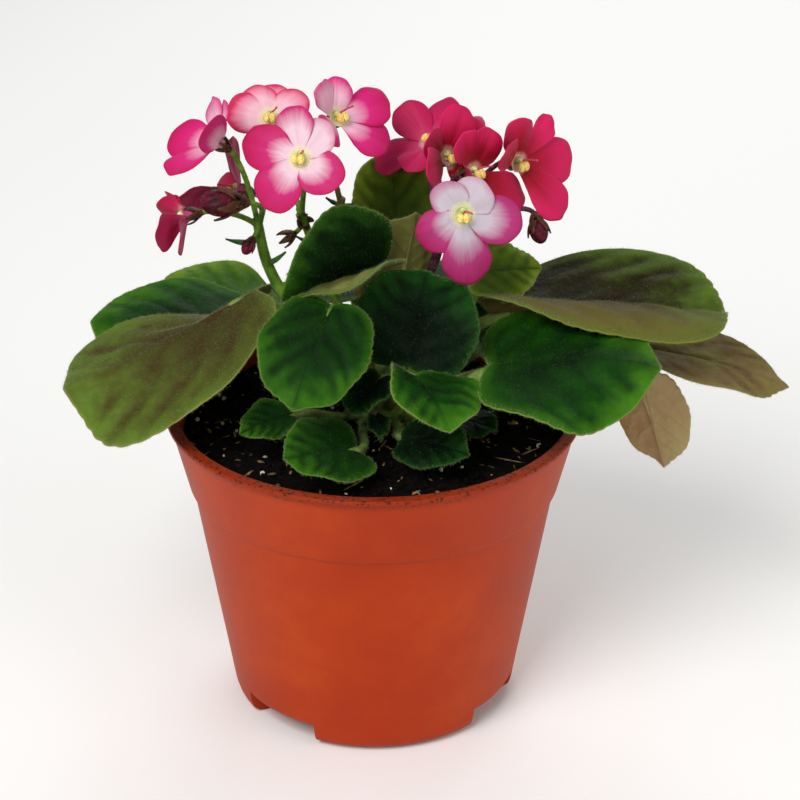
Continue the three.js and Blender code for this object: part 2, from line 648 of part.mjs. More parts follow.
// Each stalk: the points of its main stem, and the blooms, buds and dried ends on its branches. A
// branch starts at the stem's last point and ends in a calyx behind its bloom or bud.
const stalks = {
  stalk_left: {
    path: [[-3, 1, 107.4], [-22, 8, 118], [-30, 10, 131], [-33, 9, 146]],
    radius: 1.6,
    carries: ["bloom_01", "bloom_05", "bud_01", "bud_02", "bloom_11"],
    hue: stemGreen,
  },
  stalk_middle: {
    path: [[-3, 6, 107.4], [-12, 14, 121], [-17, 14, 135], [-21, 12, 148]],
    radius: 1.3,
    carries: ["bloom_02", "bloom_03"],
    hue: stemGreen,
  },
  stalk_centre: {
    path: [[1, 8, 107.4], [-5, 14, 124], [-11, 14, 138], [-9, 9, 152]],
    radius: 1.3,
    carries: ["bloom_04"],
    hue: stemGreen,
  },
  stalk_right: {
    path: [[6, 6, 107.4], [13, 11, 121], [18, 10, 135], [19, 9, 144]],
    radius: 1.4,
    carries: ["bloom_06", "bloom_07", "bloom_08", "bloom_09", "bloom_10", "bud_03"],
    hue: stalkPurple,
  },
};

const buds = {
  bud_01: { at: [-41, -3, 155.4], facing: [-75, 6], size: 1.3 },
  bud_02: { at: [-35, 4, 140], facing: [-40, -40], size: 0.6 },
  bud_03: { at: [46, 4, 145.2], facing: [20, -50], size: 0.9 },
};

const BRANCH_RADIUS = 0.75;
const BRANCH_PITCH = 0.015; // between branches, as a share of the stem
const CALYX_BACK = TUBE_LENGTH - 0.9; // from the throat back to the tube's end

function calyxSolid(frame) {
  const points = [new THREE.Vector3()];
  const faces = [];
  const corners = 10;
  for (let i = 0; i < corners; i++) {
    const reach = i % 2 ? 1.5 : 5.2;
    const angle = (2 * Math.PI * i) / corners;
    points.push(new THREE.Vector3(reach * Math.sin(angle), reach * Math.cos(angle), 0.3 * reach - 0.5));
    faces.push([0, 1 + ((i + 1) % corners), 1 + i]);
  }
  const star = thicken(points, faces, BLADE_THICKNESS).translate(0, 0, -CALYX_BACK - GAP - 1.1);
  return solidOf(star.applyMatrix4(frame));
}

function makeStalk(row) {
  const stem = new THREE.CatmullRomCurve3(row.path.map(vec));
  const node = stem.getPoint(1);
  const solids = [solidOf(barAlong(stem, row.radius, 6, 6))];
  row.carries.forEach((name, i) => {
    const carried = blooms[name] ?? buds[name];
    const frame = bloomFrame(carried);
    const end = new THREE.Vector3(0, 0, -CALYX_BACK - 1.6).applyMatrix4(frame);
    const behind = new THREE.Vector3(0, 0, -CALYX_BACK - 8).applyMatrix4(frame);
    const start = stem.getPoint(0.96 - BRANCH_PITCH * i);
    const branch = new THREE.CubicBezierCurve3(start, node, behind, end);
    solids.push(solidOf(barAlong(branch, BRANCH_RADIUS, 5, 4)), calyxSolid(frame));
  });
  return union(solids);
}

// A closed bud: the folded corolla between its sepals.
function makeBud(row) {
  const bud = new THREE.SphereGeometry(3, 8, 6).scale(1, 1, 1.25).translate(0, 0, 1.4);
  return solidOf(bud.applyMatrix4(bloomFrame(row)));
}

// ---- The whole plant ----------------------------------------------------------------------------

const plant = new THREE.Group();

function place(name, solid, material) {
  const mesh = new THREE.Mesh(geometryOf(solid), material);
  mesh.name = name;
  plant.add(mesh);
}

place("pot", makePot(), terracottaPlastic);
place("soil", makeSoil(), pottingMix);
place("crown", makeCrown(), stemGreen);
for (const [name, row] of Object.entries(leaves)) place(name, makeLeaf(row), finish(row.hue, 0.65));
for (const [name, row] of Object.entries(stalks)) place(name, makeStalk(row), row.hue);
for (const [name, row] of Object.entries(buds)) place(name, makeBud(row), budRed);
for (const [name, row] of Object.entries(blooms)) {
  place(name, makeBloom(row), finish(row.hue, 0.5));
  place(`${name}_anthers`, makeAnthers(row), antherYellow);
}

// The origin is under the middle of the plant's own box, on the plane that the feet stand on.
const box = new THREE.Box3().setFromObject(plant);
const middle = box.getCenter(new THREE.Vector3());
plant.position.set(-middle.x, -middle.y, 0);

export default plant;
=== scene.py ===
"""A potted African violet: the finish of a nursery pot, its potting mix and the plant that grows in it."""
import math
from itertools import combinations

import bpy
import numpy as np
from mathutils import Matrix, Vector


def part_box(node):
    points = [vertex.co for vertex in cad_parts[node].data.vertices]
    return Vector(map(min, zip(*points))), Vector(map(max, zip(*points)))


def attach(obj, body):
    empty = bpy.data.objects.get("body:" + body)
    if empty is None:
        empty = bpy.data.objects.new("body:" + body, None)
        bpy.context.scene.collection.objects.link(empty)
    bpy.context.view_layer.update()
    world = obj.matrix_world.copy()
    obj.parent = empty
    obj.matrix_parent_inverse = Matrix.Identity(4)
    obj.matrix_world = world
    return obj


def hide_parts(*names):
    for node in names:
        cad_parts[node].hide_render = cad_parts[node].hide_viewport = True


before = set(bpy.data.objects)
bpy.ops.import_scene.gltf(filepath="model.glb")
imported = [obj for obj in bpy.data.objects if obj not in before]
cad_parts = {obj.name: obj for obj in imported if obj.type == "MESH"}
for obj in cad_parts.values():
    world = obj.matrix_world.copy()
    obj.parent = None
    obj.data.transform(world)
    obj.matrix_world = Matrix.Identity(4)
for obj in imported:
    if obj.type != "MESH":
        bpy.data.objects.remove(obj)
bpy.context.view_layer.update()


# ---- Camera ---------------------------------------------------------------------------------------
# A portrait lens a little over half a metre away, above the rim and looking down on the plant, aimed
# at the pot's axis. The plant sits left of the middle of the picture, which the lens shift gives.

CAMERA_DISTANCE = 0.650
CAMERA_ELEVATION = math.radians(26)
CAMERA_AIM_HEIGHT = 0.0935
LENS_MM = 101.4
LENS_SHIFT = 0.0328

pot_low, pot_high = (np.array(corner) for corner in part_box("pot"))
POT_AXIS = np.array([*(pot_low + pot_high)[:2] / 2, 0])

camera_data = bpy.data.cameras.new("camera")
camera_data.lens = LENS_MM
camera_data.shift_x = LENS_SHIFT
camera = bpy.data.objects.new("camera", camera_data)
bpy.context.collection.objects.link(camera)
aim = Vector((*POT_AXIS[:2], CAMERA_AIM_HEIGHT))
sight = Vector((0, math.cos(CAMERA_ELEVATION), -math.sin(CAMERA_ELEVATION)))
camera.location = aim - sight * CAMERA_DISTANCE
camera.rotation_euler = sight.to_track_quat("-Z", "Y").to_euler()
bpy.context.scene.camera = camera


# ---- Pot ------------------------------------------------------------------------------------------
# A thin-walled nursery pot, injection-moulded in terracotta-coloured polypropylene: a flat lip, a
# flared collar, a step in to the wall, and a foot ring that three notches part into three feet.

POT_HEIGHT = 92.5
LIP_RADIUS = 60
LIP_DEPTH = 1.4
COLLAR_FOOT = 69.3
FLOOR_HEIGHT = 7.4
WALL = 1.3
NOTCH_MIDDLES = np.radians([-41.5, 61, 190])
NOTCH_SPAN = math.radians(35)
FOOT_START = 29  # the radius from which a notch lifts the profile
TURN_STEPS = 240
DRAIN_RADIUS = 3.5
DRAIN_CIRCLE_RADIUS = 24
DRAIN_COUNT = 6
DRILL_SIDES = 24


def linear(hex_colour):
    """sRGB to linear: a channel over 255 is divided by 12.92 if small, else ((c + 0.055) / 1.055) ** 2.4."""
    channels = np.array([hex_colour >> 16 & 255, hex_colour >> 8 & 255, hex_colour & 255]) / 255
    bright = ((channels + 0.055) / 1.055) ** 2.4
    return [*np.where(channels < 0.04045, channels / 12.92, bright).tolist(), 1.0]


def connect(tree, made, inputs):
    """Sets a node's inputs: each takes a value, an output, or another node's first live output."""
    for key, value in inputs.items():
        socket = made.inputs[key]
        if isinstance(value, bpy.types.Node):
            value = next(output for output in value.outputs if output.enabled)
        if isinstance(value, bpy.types.NodeSocket):
            tree.links.new(value, socket)
        else:
            socket.default_value = linear(value) if socket.type == "RGBA" else value


def node(tree, kind, inputs=None, stops=(), **fields):
    """Adds a shader node with its settings and links. Stops fill a ramp, and colours are sRGB hex."""
    made = tree.nodes.new("ShaderNode" + kind)
    for field, value in fields.items():
        setattr(made, field, value)
    connect(tree, made, inputs or {})
    for i, (position, colour) in enumerate(stops):
        element = made.color_ramp.elements[i] if i < 2 else made.color_ramp.elements.new(1)
        element.position, element.color = position, linear(colour) if isinstance(colour, int) else colour
    return made


def new_material(name):
    """A material, its node tree and a texture coordinate on the object."""
    made = bpy.data.materials.new(name)
    made.use_nodes = True
    return made, made.node_tree, node(made.node_tree, "TexCoord").outputs["Object"]


def finish(made, inputs):
    """Sets the shader's inputs and gives the material back."""
    connect(made.node_tree, made.node_tree.nodes["Principled BSDF"], inputs)
    return made


def stack(*parts):
    """Numbers and arrays of one shape side by side, such as x, y and z as points, or corners as faces."""
    return np.stack(np.broadcast_arrays(*parts), axis=-1)


def turns(count):
    """Angles in equal steps round a full turn."""
    return np.linspace(0, 2 * math.pi, count, endpoint=False)


def turned(radius, turn, height):
    """Points at a distance from the Z axis, a turn about it and a height."""
    return stack(radius * np.cos(turn), radius * np.sin(turn), height)


def grid_faces(rows, columns, closed=False):
    """Quads between neighbours of a grid whose points run along a row of columns, then on to the next."""
    row = np.arange(rows - 1)[:, None] * columns
    column = np.arange(columns if closed else columns - 1)[None, :]
    after = (column + 1) % columns
    return stack(row + column, row + after, row + columns + after, row + columns + column).reshape(-1, 4)


def make_piece(name, points, face_sets, materials, which=None, attributes=None):
    """A mesh from points in mm about the pot's axis. Each set of faces takes the finish that which gives."""
    mesh = bpy.data.meshes.new(name)
    faces = [face for faces in face_sets for face in faces.tolist()]
    mesh.from_pydata((points * 0.001 + POT_AXIS).tolist(), [], faces)
    for made in materials:
        mesh.materials.append(made)
    if which is not None:
        mesh.polygons.foreach_set("material_index", np.repeat(which, [len(faces) for faces in face_sets]))
    for key, values in (attributes or {}).items():
        layer = mesh.attributes.new(key, "FLOAT_VECTOR", "POINT")
        layer.data.foreach_set("vector", np.asarray(values, np.float32).ravel())
    mesh.polygons.foreach_set("use_smooth", np.ones(len(mesh.polygons), bool))
    mesh.update()
    piece = bpy.data.objects.new(name, mesh)
    bpy.context.collection.objects.link(piece)
    return piece


def settle(piece, slot, *nodes):
    """The piece rides on the one body and stands for those CAD nodes. The slot is not used."""
    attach(piece, "root")
    if nodes:
        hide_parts(*nodes)


def rounded(corners, radius, steps=4):
    """A closed profile with each corner turned into an arc: a curve from one side's point to the next's."""
    corners = np.array(corners, float)
    before = np.roll(corners, 1, axis=0) - corners
    after = np.roll(corners, -1, axis=0) - corners
    reach_before = np.linalg.norm(before, axis=1, keepdims=True)
    reach_after = np.linalg.norm(after, axis=1, keepdims=True)
    cut = np.minimum(radius, 0.4 * np.minimum(reach_before, reach_after))
    first = (corners + before / reach_before * cut)[:, None]
    last = (corners + after / reach_after * cut)[:, None]
    share = np.linspace(0, 1, steps)[None, :, None]
    arcs = first * (1 - share) ** 2 + 2 * corners[:, None] * share * (1 - share) + last * share**2
    return arcs.reshape(-1, 2)


def pot_points():
    """Each profile point (radius, height) at each turn, and in a notch no lower than the floor."""
    profile = rounded(
        [
            [0.4, FLOOR_HEIGHT], [32, FLOOR_HEIGHT], [33, 0], [37, 0], [39.6, 0.6], [41.5, 2.2],
            [42.2, 4.4], [43.0, 9.2], [43.6, 13.1], [52.8, COLLAR_FOOT], [53.9, COLLAR_FOOT + 1],
            [59, POT_HEIGHT - LIP_DEPTH], [LIP_RADIUS, POT_HEIGHT - LIP_DEPTH], [LIP_RADIUS, POT_HEIGHT],
            [56.6, POT_HEIGHT], [53.9 - WALL, COLLAR_FOOT + 1.6], [52.8 - WALL, COLLAR_FOOT],
            [42.2 - WALL, FLOOR_HEIGHT + WALL], [0.4, FLOOR_HEIGHT + WALL],
        ],
        0.5,
    )
    sides = (NOTCH_MIDDLES[:, None] + np.array([-1, 1]) * NOTCH_SPAN / 2).ravel()
    slivers = (sides[:, None] + np.array([-1, 1]) * 1e-3).ravel() % (2 * math.pi)
    turn = np.sort(np.append(turns(TURN_STEPS), slivers))[:, None]
    from_notch = np.abs((turn - NOTCH_MIDDLES + math.pi) % (2 * math.pi) - math.pi).min(axis=1)
    notched = (from_notch < NOTCH_SPAN / 2)[:, None]
    radius = profile[None, :, 0]
    height = np.where(notched & (radius > FOOT_START), np.maximum(profile[:, 1], FLOOR_HEIGHT), profile[:, 1])
    return stack(radius * np.sin(turn), -radius * np.cos(turn), height)


def terracotta_polypropylene():
    """Moulded polypropylene: satin, clouded by flow marks, with dark crumbs of soil along the lip."""
    made, tree, place = new_material("terracotta_polypropylene")
    cloud = node(tree, "TexNoise", {"Vector": place, "Scale": 30, "Detail": 6, "Roughness": 0.65})
    tone = node(tree, "ValToRGB", {"Fac": cloud}, stops=[(0.3, 0x9E2C02), (0.52, 0xA83304), (0.72, 0xB43E08)])
    height = node(tree, "SeparateXYZ", {0: place}).outputs["Z"]
    near_lip = node(tree, "MapRange", {"Value": height, "From Min": 0.0885, "From Max": 0.0921})
    specks = node(tree, "TexNoise", {"Vector": place, "Scale": 900, "Detail": 2, "Roughness": 0.7})
    speck = node(tree, "MapRange", {"Value": specks, "From Min": 0.56, "From Max": 0.62})
    dirt = node(tree, "Math", {0: near_lip, 1: speck}, operation="MULTIPLY")
    lip = node(tree, "Mix", {0: near_lip, 6: tone, 7: 0x8E2A06}, data_type="RGBA")
    dirty = node(tree, "Mix", {0: dirt, 6: lip, 7: 0x2A1710}, data_type="RGBA")
    worn = node(tree, "MapRange", {"Value": cloud, "To Min": 0.4, "To Max": 0.6})
    grain = node(tree, "TexNoise", {"Vector": place, "Scale": 1500, "Detail": 2})
    bump = node(tree, "Bump", {"Height": grain, "Strength": 0.1, "Distance": 0.0002})
    return finish(made, {"Base Color": dirty, "Roughness": worn, "Specular IOR Level": 0.16, "Normal": bump})


def drill_out(piece, places, radius, length):
    """Round holes through the piece along +Z, cut by one body of closed many-sided cylinders."""
    circle = turned(radius, turns(DRILL_SIDES), 0)
    points = np.concatenate([circle + place + [0, 0, up] for place in places for up in (0, length)])
    start = 2 * DRILL_SIDES * np.arange(len(places))[:, None, None]
    sides = (grid_faces(2, DRILL_SIDES, closed=True) + start).reshape(-1, 4)
    below, above = np.arange(2 * DRILL_SIDES).reshape(2, -1)
    ends = (np.stack([below[::-1], above]) + start).reshape(-1, DRILL_SIDES)
    drill = make_piece("drill", points, [sides, ends], [])
    cutter = piece.modifiers.new("holes", "BOOLEAN")
    cutter.object = drill
    bpy.context.view_layer.objects.active = piece
    bpy.ops.object.modifier_apply(modifier=cutter.name)
    bpy.data.objects.remove(drill)


pot_grid = pot_points()
turn_count, profile_count = pot_grid.shape[:2]
pot_faces = grid_faces(turn_count + 1, profile_count, closed=True) % (turn_count * profile_count)
pot = make_piece("nursery_pot", pot_grid.reshape(-1, 3), [pot_faces[:, ::-1]], [terracotta_polypropylene()])
hole_places = turned(DRAIN_CIRCLE_RADIUS, turns(DRAIN_COUNT), FLOOR_HEIGHT - 2)
drill_out(pot, hole_places, DRAIN_RADIUS, length=6)
pot.data.set_sharp_from_angle(angle=math.radians(35))
settle(pot, "pot_plastic", "pot")


# ---- Potting mix ----------------------------------------------------------------------------------
# Dark moist peat that fills the pot to a finger's width below the lip. Crumbs, bark, root fibres and
# white grains of perlite lie on it.

SOIL_HEIGHT = 85.5
SOIL_RADIUS = 54.9
SOIL_FOOT_RADIUS = 40
SOIL_RINGS, SOIL_SPOKES = 90, 260
INNERMOST = 0.006  # share of its radius at which the rings of a body end round its middle
CRUMB_COUNT = 1500
PERLITE_COUNT = 70
BARK_COUNT = 170
FIBRE_COUNT = 110
random = np.random.default_rng(7)


def soil_height(x, y):
    """A mound of 1.5 mm in the middle, slow bumps of 1.3 mm and three finer waves over them."""
    mound = 1.5 * (1 - np.hypot(x, y) / SOIL_RADIUS)
    bumps = 1.3 * np.sin(0.31 * x + 1) * np.cos(0.37 * y + 2)
    fine = 0.5 * np.sin(1.1 * x + 2 * np.sin(0.9 * y)) * np.cos(1.3 * y + np.sin(0.7 * x))
    crumbly = 0.25 * np.sin(2.9 * x + 3 * np.sin(2.1 * y)) * np.cos(3.1 * y + 2)
    return SOIL_HEIGHT + mound + bumps + fine + crumbly


def capped(rings):
    """Points and faces of a body of rings: each is joined to the next, and a middle point closes each end."""
    count, sides = rings.shape[:2]
    points = np.concatenate([rings.reshape(-1, 3), rings[[0, -1]].mean(axis=1)])
    turn = np.arange(sides)
    after = (turn + 1) % sides
    last = (count - 1) * sides
    start = stack(after, turn, count * sides)
    end = stack(last + turn, last + after, count * sides + 1)
    return points, grid_faces(count, sides, closed=True), np.concatenate([start, end])


def soil_body():
    """Two rings at the pot's floor, then rings of the top from the wall in to the middle."""
    ring = np.linspace(1, INNERMOST, SOIL_RINGS)[:, None] * SOIL_RADIUS
    top = turned(ring, turns(SOIL_SPOKES), 0)
    top[..., 2] = soil_height(top[..., 0], top[..., 1])
    narrower = SOIL_FOOT_RADIUS / SOIL_RADIUS
    foot = top[:1] * [narrower, narrower, 0] + [0, 0, FLOOR_HEIGHT + WALL + 0.4]
    return capped(np.concatenate([foot * [0.01, 0.01, 1], foot, top]))


def crumbs(count, size, stretch, sink, flat):
    """Icosahedra of random size and turn, stretched along one axis and laid flat, all over the soil."""
    golden = (1 + 5**0.5) / 2
    corners = np.array([[-1, golden, 0], [1, golden, 0], [-1, -golden, 0], [1, -golden, 0]])
    corners = np.concatenate([corners, np.roll(corners, 1, axis=1), np.roll(corners, 2, axis=1)]) / 1.9
    near = np.linalg.norm(corners[:, None] - corners[None], axis=-1) < 1.2
    faces = np.array([at for at in combinations(range(12), 3) if near[np.ix_(at, at)].all()])
    a, b, c = corners[faces.T]
    inside_out = (np.cross(b - a, c - a) * (a + b + c)).sum(axis=1) < 0
    faces[inside_out] = faces[inside_out][:, ::-1]
    jitter = random.uniform(0.75, 1.2, (count, 12, 1))
    scale = random.uniform(*size, (count, 1, 1)) * np.array(stretch) / 2
    spin = np.linalg.qr(random.normal(size=(count, 3, 3)))[0]
    spin *= np.sign(np.linalg.det(spin))[:, None, None]
    shapes = (corners * jitter * scale) @ spin * [1, 1, flat]
    reach = SOIL_RADIUS * 0.975 * np.sqrt(random.uniform(0.02, 1, count))
    bearing = random.uniform(0, 2 * math.pi, count)
    x, y = reach * np.cos(bearing), reach * np.sin(bearing)
    place = stack(x, y, soil_height(x, y) + sink * scale[:, 0, 0])
    points = (shapes + place[:, None]).reshape(-1, 3)
    return points, (faces[None] + 12 * np.arange(count)[:, None, None]).reshape(-1, 3)


def join(parts):
    """One set of points and faces from several, with each part's faces counted on from the last."""
    points, faces, start = [], [], 0
    for part_points, *part_faces in parts:
        points.append(part_points)
        faces.extend(part_face + start for part_face in part_faces)
        start += len(part_points)
    return np.concatenate(points), faces


def grained(name, tones, scale, roughness, specular=0.5, detail=3, fineness=0.5, bump=(0.5, 0.0003)):
    """A matt natural surface: one fine noise picks its tone and raises its grain by strength and metres."""
    made, tree, place = new_material(name)
    noise = node(tree, "TexNoise", {"Vector": place, "Scale": scale, "Detail": detail, "Roughness": fineness})
    tone = node(tree, "ValToRGB", {"Fac": noise}, stops=tones)
    inputs = {"Base Color": tone, "Roughness": roughness, "Specular IOR Level": specular}
    if bump:
        inputs["Normal"] = node(tree, "Bump", {"Height": noise, "Strength": bump[0], "Distance": bump[1]})
    return finish(made, inputs)


def speckled(name, dark, light, grain_mm, roughness):
    """A dull mineral or woody grain whose colour wanders between two tones over a few tenths of a mm."""
    return grained(name, [(0.35, dark), (0.65, light)], 1000 / grain_mm, roughness)


# Near-black crumbly peat: a fine brown and black speckle, rough, with a deep grainy bump.
peat_tones = [(0.38, 0x040202), (0.58, 0x0E0906), (0.7, 0x241811), (0.8, 0x523C28)]
peat_grain = dict(scale=700, roughness=0.92, specular=0.1, detail=6, fineness=0.7, bump=(0.9, 0.0012))
moist_peat = grained("moist_peat", peat_tones, **peat_grain)
perlite = speckled("perlite", 0xB9B2A2, 0xF1EEE4, 0.6, 0.8)
bark = speckled("bark", 0x3A2413, 0xA07B4C, 1.2, 0.85)
root_fibre = speckled("root_fibre", 0x5A4028, 0xA88A5C, 1.5, 0.8)

soil_points, *soil_faces = soil_body()
soil = make_piece("potting_mix", soil_points, soil_faces, [moist_peat])
settle(soil, "potting_mix", "soil")

# What lies on it: how many, their length in mm, their three proportions, how deep and how flat they lie.
loose = {
    "soil_crumbs": (CRUMB_COUNT, (0.7, 2.6), (1, 0.8, 0.7), 0.15, 1, moist_peat),
    "perlite_grains": (PERLITE_COUNT, (0.7, 2.0), (1, 0.85, 0.8), 0.15, 1, perlite),
    "bark_chips": (BARK_COUNT, (1.2, 4.2), (1, 0.35, 0.22), 0.15, 0.6, bark),
    "root_fibres": (FIBRE_COUNT, (5, 12), (1, 0.06, 0.06), 0.08, 0.3, root_fibre),
}
for name, (*laid, grain) in loose.items():
    grain_points, grain_faces = crumbs(*laid)
    settle(make_piece(name, grain_points, [grain_faces], [grain]), "potting_mix")


# ---- Stem, and the leaves on it -------------------------------------------------------------------
# The short green stem stands in the soil, and every leaf grows from it: a fleshy, velvety blade with
# a scalloped edge, sunken veins above and raised ones below, on a hairy stalk that runs on as a rib.

STEM_CENTRE = np.array([2.0, 2.0])
STEM_RADIUS = 8.0
STEM_TOP = 106
GAP = 0.35

BLADE_THICKNESS = 0.8
PETIOLE_RADIUS = 1.7
PETIOLE_STEPS = 24
RINGS = 24
SPOKES = 288
VEINS = 4.2  # on each side of the midrib, over its length
THINNEST = 0.05  # from a blade's middle surface to either face
NOTCH_DEPTH = 0.3  # of the blade's half length, where the petiole comes in
NOTCH_WIDTH = 0.42
TIP_WIDTH = 0.3
SCALLOPS = 8
WAVE_HEIGHT = 0.8  # of the margin, mm
GROOVE = 2  # half the width over which the two halves round into each other, mm
SETTLED = 0.7  # share of the midrib from which a half's rise stays the same
NAP_LENGTH = 0.9  # of the hairs, mm

# What a leaf has where its row doesn't say otherwise.
usual_leaf = dict(
    skew=-0.06, blunt=0, point=0.02, roll=0, left=(12, 5), right=(12, 5), curl=(0, 0), out=1,
    petiole=PETIOLE_RADIUS, look="bright", pale=(8, 9), nap=0.9, swell=1,
)

# Where each blade meets its stalk and ends, its width, arch and roll, how each half rises at its base
# and tip, and where the stalk leaves the stem (bearing, height), going out and up; then its look, the
# shares across it between which its top is painted paler, a painted sheen of hairs seen edge-on, its
# hairs per square mm and its quilting.
leaves = {
    "leaf_01": dict(
        base=(-33, -8.1, 131.9), tip=(-85.9, -20.1, 106.1), width=56, skew=0.15, blunt=0.2, arch=-10,
        roll=-14, left=(-4, -19), right=(-53, -20), curl=(0.008, 0.004), leaves_at=(-168, 95.5), rise=0.4,
        look="olive", nap=2.4, swell=1.8,
    ),
    "leaf_02": dict(
        base=(-36.4, 12.8, 109.1), tip=(-82.5, 17.4, 109.6), width=48, skew=-0.1, blunt=0.1, arch=35, roll=7,
        left=(-15, -32), right=(16, 12), leaves_at=(168, 95.5), rise=0.25,
    ),
    "leaf_03": dict(
        base=(-31.2, 30.8, 108.3), tip=(-63.5, 48.8, 110.3), width=34, blunt=0.08, arch=27, roll=-7,
        left=(9, 1), right=(-16, 5), leaves_at=(146, 95.5), rise=0.3, look="painted_lit",
    ),
    "leaf_04": dict(
        base=(2.3, -0.4, 134.4), tip=(-25.6, -13.4, 129.7), width=50, skew=0.01, blunt=-0.2, arch=21,
        roll=-9, left=(40, 27), right=(95, 83), leaves_at=(-75, 101.5), out=0.1, rise=1, look="deep",
        pale=(0, 0.6),
    ),
    "leaf_05": dict(
        base=(-11, -21.3, 132.9), tip=(-21.4, -45.3, 112.2), width=34, skew=-0.11, arch=34, roll=-3,
        left=(-17, -23), right=(-2, 18), leaves_at=(-128, 95.5), rise=0.9, look="green",
    ),
    "leaf_06": dict(
        base=(9.8, -15, 111.5), tip=(14.5, -9.3, 137.8), width=39, skew=-0.21, blunt=0.12, arch=-7, roll=24,
        left=(3, 20), right=(13, 1), leaves_at=(-45, 101.5), rise=0.1, look="shade",
    ),
    "leaf_07": dict(
        base=(32, -20.2, 113.5), tip=(78.9, -25.1, 116.1), width=51, skew=-0.16, blunt=-0.06, arch=28,
        roll=9, left=(6, 0), right=(0, -34), leaves_at=(-32, 95.5), rise=0.3, point=-0.04,
    ),
    "leaf_08": dict(
        base=(11.7, -27.3, 114), tip=(20.9, -44.2, 105.7), width=33, skew=0, arch=27, left=(-6, 3),
        right=(36, 18), leaves_at=(-72, 95.5), petiole=1.4, rise=0.6,
    ),
    "leaf_09": dict(
        base=(33.1, 4, 119.8), tip=(100.8, 9.2, 116), width=51, skew=0.21, blunt=0.13, arch=10, roll=6,
        left=(5, 24), right=(68, 47), curl=(-0.01, -0.061), leaves_at=(8, 101.5), rise=0.5, look="bronze",
        point=-0.03, pale=(-0.1, -1.1), nap=2.4, swell=1.6,
    ),
    "leaf_10": dict(
        base=(75.8, 12.7, 104.2), tip=(119.2, 1.1, 96.4), width=34, skew=-0.11, arch=24, roll=3,
        left=(10, 3), right=(13, -2), leaves_at=(2, 95.5), rise=0.2, look="umber",
    ),
    "leaf_11": dict(
        base=(76.8, 5.8, 97.9), tip=(86.1, 8.4, 67.5), width=27, arch=11, roll=-50, left=(5, 10),
        right=(4, 10), leaves_at=(-14, 89.5), petiole=1.5, rise=0.3, look="tan",
    ),
    "leaf_12": dict(
        base=(27.6, 8.3, 129.5), tip=(48, 12.5, 129.6), width=24, skew=-0.11, blunt=-0.08, arch=9, roll=36,
        left=(19, 1), right=(1, -2), leaves_at=(38, 101.5), rise=0.8, look="painted_lit_yellow",
    ),
    "leaf_13": dict(
        base=(9, 23, 129), tip=(4, 33.5, 159), width=34, arch=-10, left=(12, 8), right=(12, 8),
        leaves_at=(72, 101.5), rise=0.9, look="painted_lit_yellow", slot="leaf_dark",
    ),
    "leaf_14": dict(
        base=(6, 6, 126), tip=(12, 8, 148), width=30, arch=-10, roll=-75, left=(12, 12), right=(12, 12),
        leaves_at=(-112, 101.5), out=0, rise=1, look="sage",
    ),
    "leaf_15": dict(
        base=(2, -21, 111), tip=(-6, -31, 104), width=18, arch=10, left=(10, 10), right=(10, 10),
        leaves_at=(-98, 95), petiole=1.1, rise=0.2, look="shade",
    ),
    "leaf_16": dict(
        base=(-4.6, -33.5, 94.6), tip=(-24.4, -45.6, 97.6), width=28, skew=-0.22, blunt=-0.06, arch=25,
        roll=-32, left=(16, 15), right=(-3, -6), leaves_at=(-114, 89.5), petiole=1.2, rise=0.2, look="green",
    ),
    "leaf_17": dict(
        base=(8.1, -28.5, 95.9), tip=(25.9, -38.6, 95.8), width=21, arch=23, roll=38, left=(-6, 7),
        right=(5, 14), leaves_at=(-66, 89.5), petiole=1.2, rise=0.2, look="shade",
    ),
    "leaf_18": dict(
        base=(-23, -20, 99), tip=(-37, -28, 97), width=16, arch=20, roll=-30, left=(10, 5), right=(10, 5),
        leaves_at=(-150, 89.5), petiole=1.1, rise=0.2, look="green",
    ),
    "leaf_19": dict(
        base=(1, -21, 99), tip=(2, -30, 96), width=9, arch=20, left=(10, 5), right=(10, 5),
        leaves_at=(-88, 92.4), petiole=0.9, rise=0.1, look="shade",
    ),
    "leaf_20": dict(
        base=(22, -14, 95), tip=(34, -24, 95), width=16, arch=20, roll=8, left=(5, 5), right=(5, 0),
        leaves_at=(-42, 89.5), petiole=1.2, rise=0.1, look="shade",
    ),
    "leaf_21": dict(
        base=(-28, 34, 103), tip=(-58, 60, 96), width=40, arch=35, left=(8, 5), right=(8, 5),
        leaves_at=(120, 89.5), rise=0.3,
    ),
    "leaf_22": dict(
        base=(-5, 40, 107), tip=(-10, 80, 99), width=42, arch=35, leaves_at=(88, 89.5), rise=0.4,
    ),
    "leaf_23": dict(
        base=(22, 36, 110), tip=(38, 74, 103), width=42, arch=30, leaves_at=(56, 89.5), rise=0.3,
    ),
    "leaf_24": dict(
        base=(29, 18, 101.8), tip=(70, 46, 97.5), width=44, arch=30, leaves_at=(26, 89.5), rise=0.25,
    ),
    "leaf_25": dict(
        base=(0, 26, 116), tip=(2, 52, 120), width=32, arch=25, left=(20, 10), right=(20, 10),
        leaves_at=(105, 101.5), rise=0.4,
    ),
}
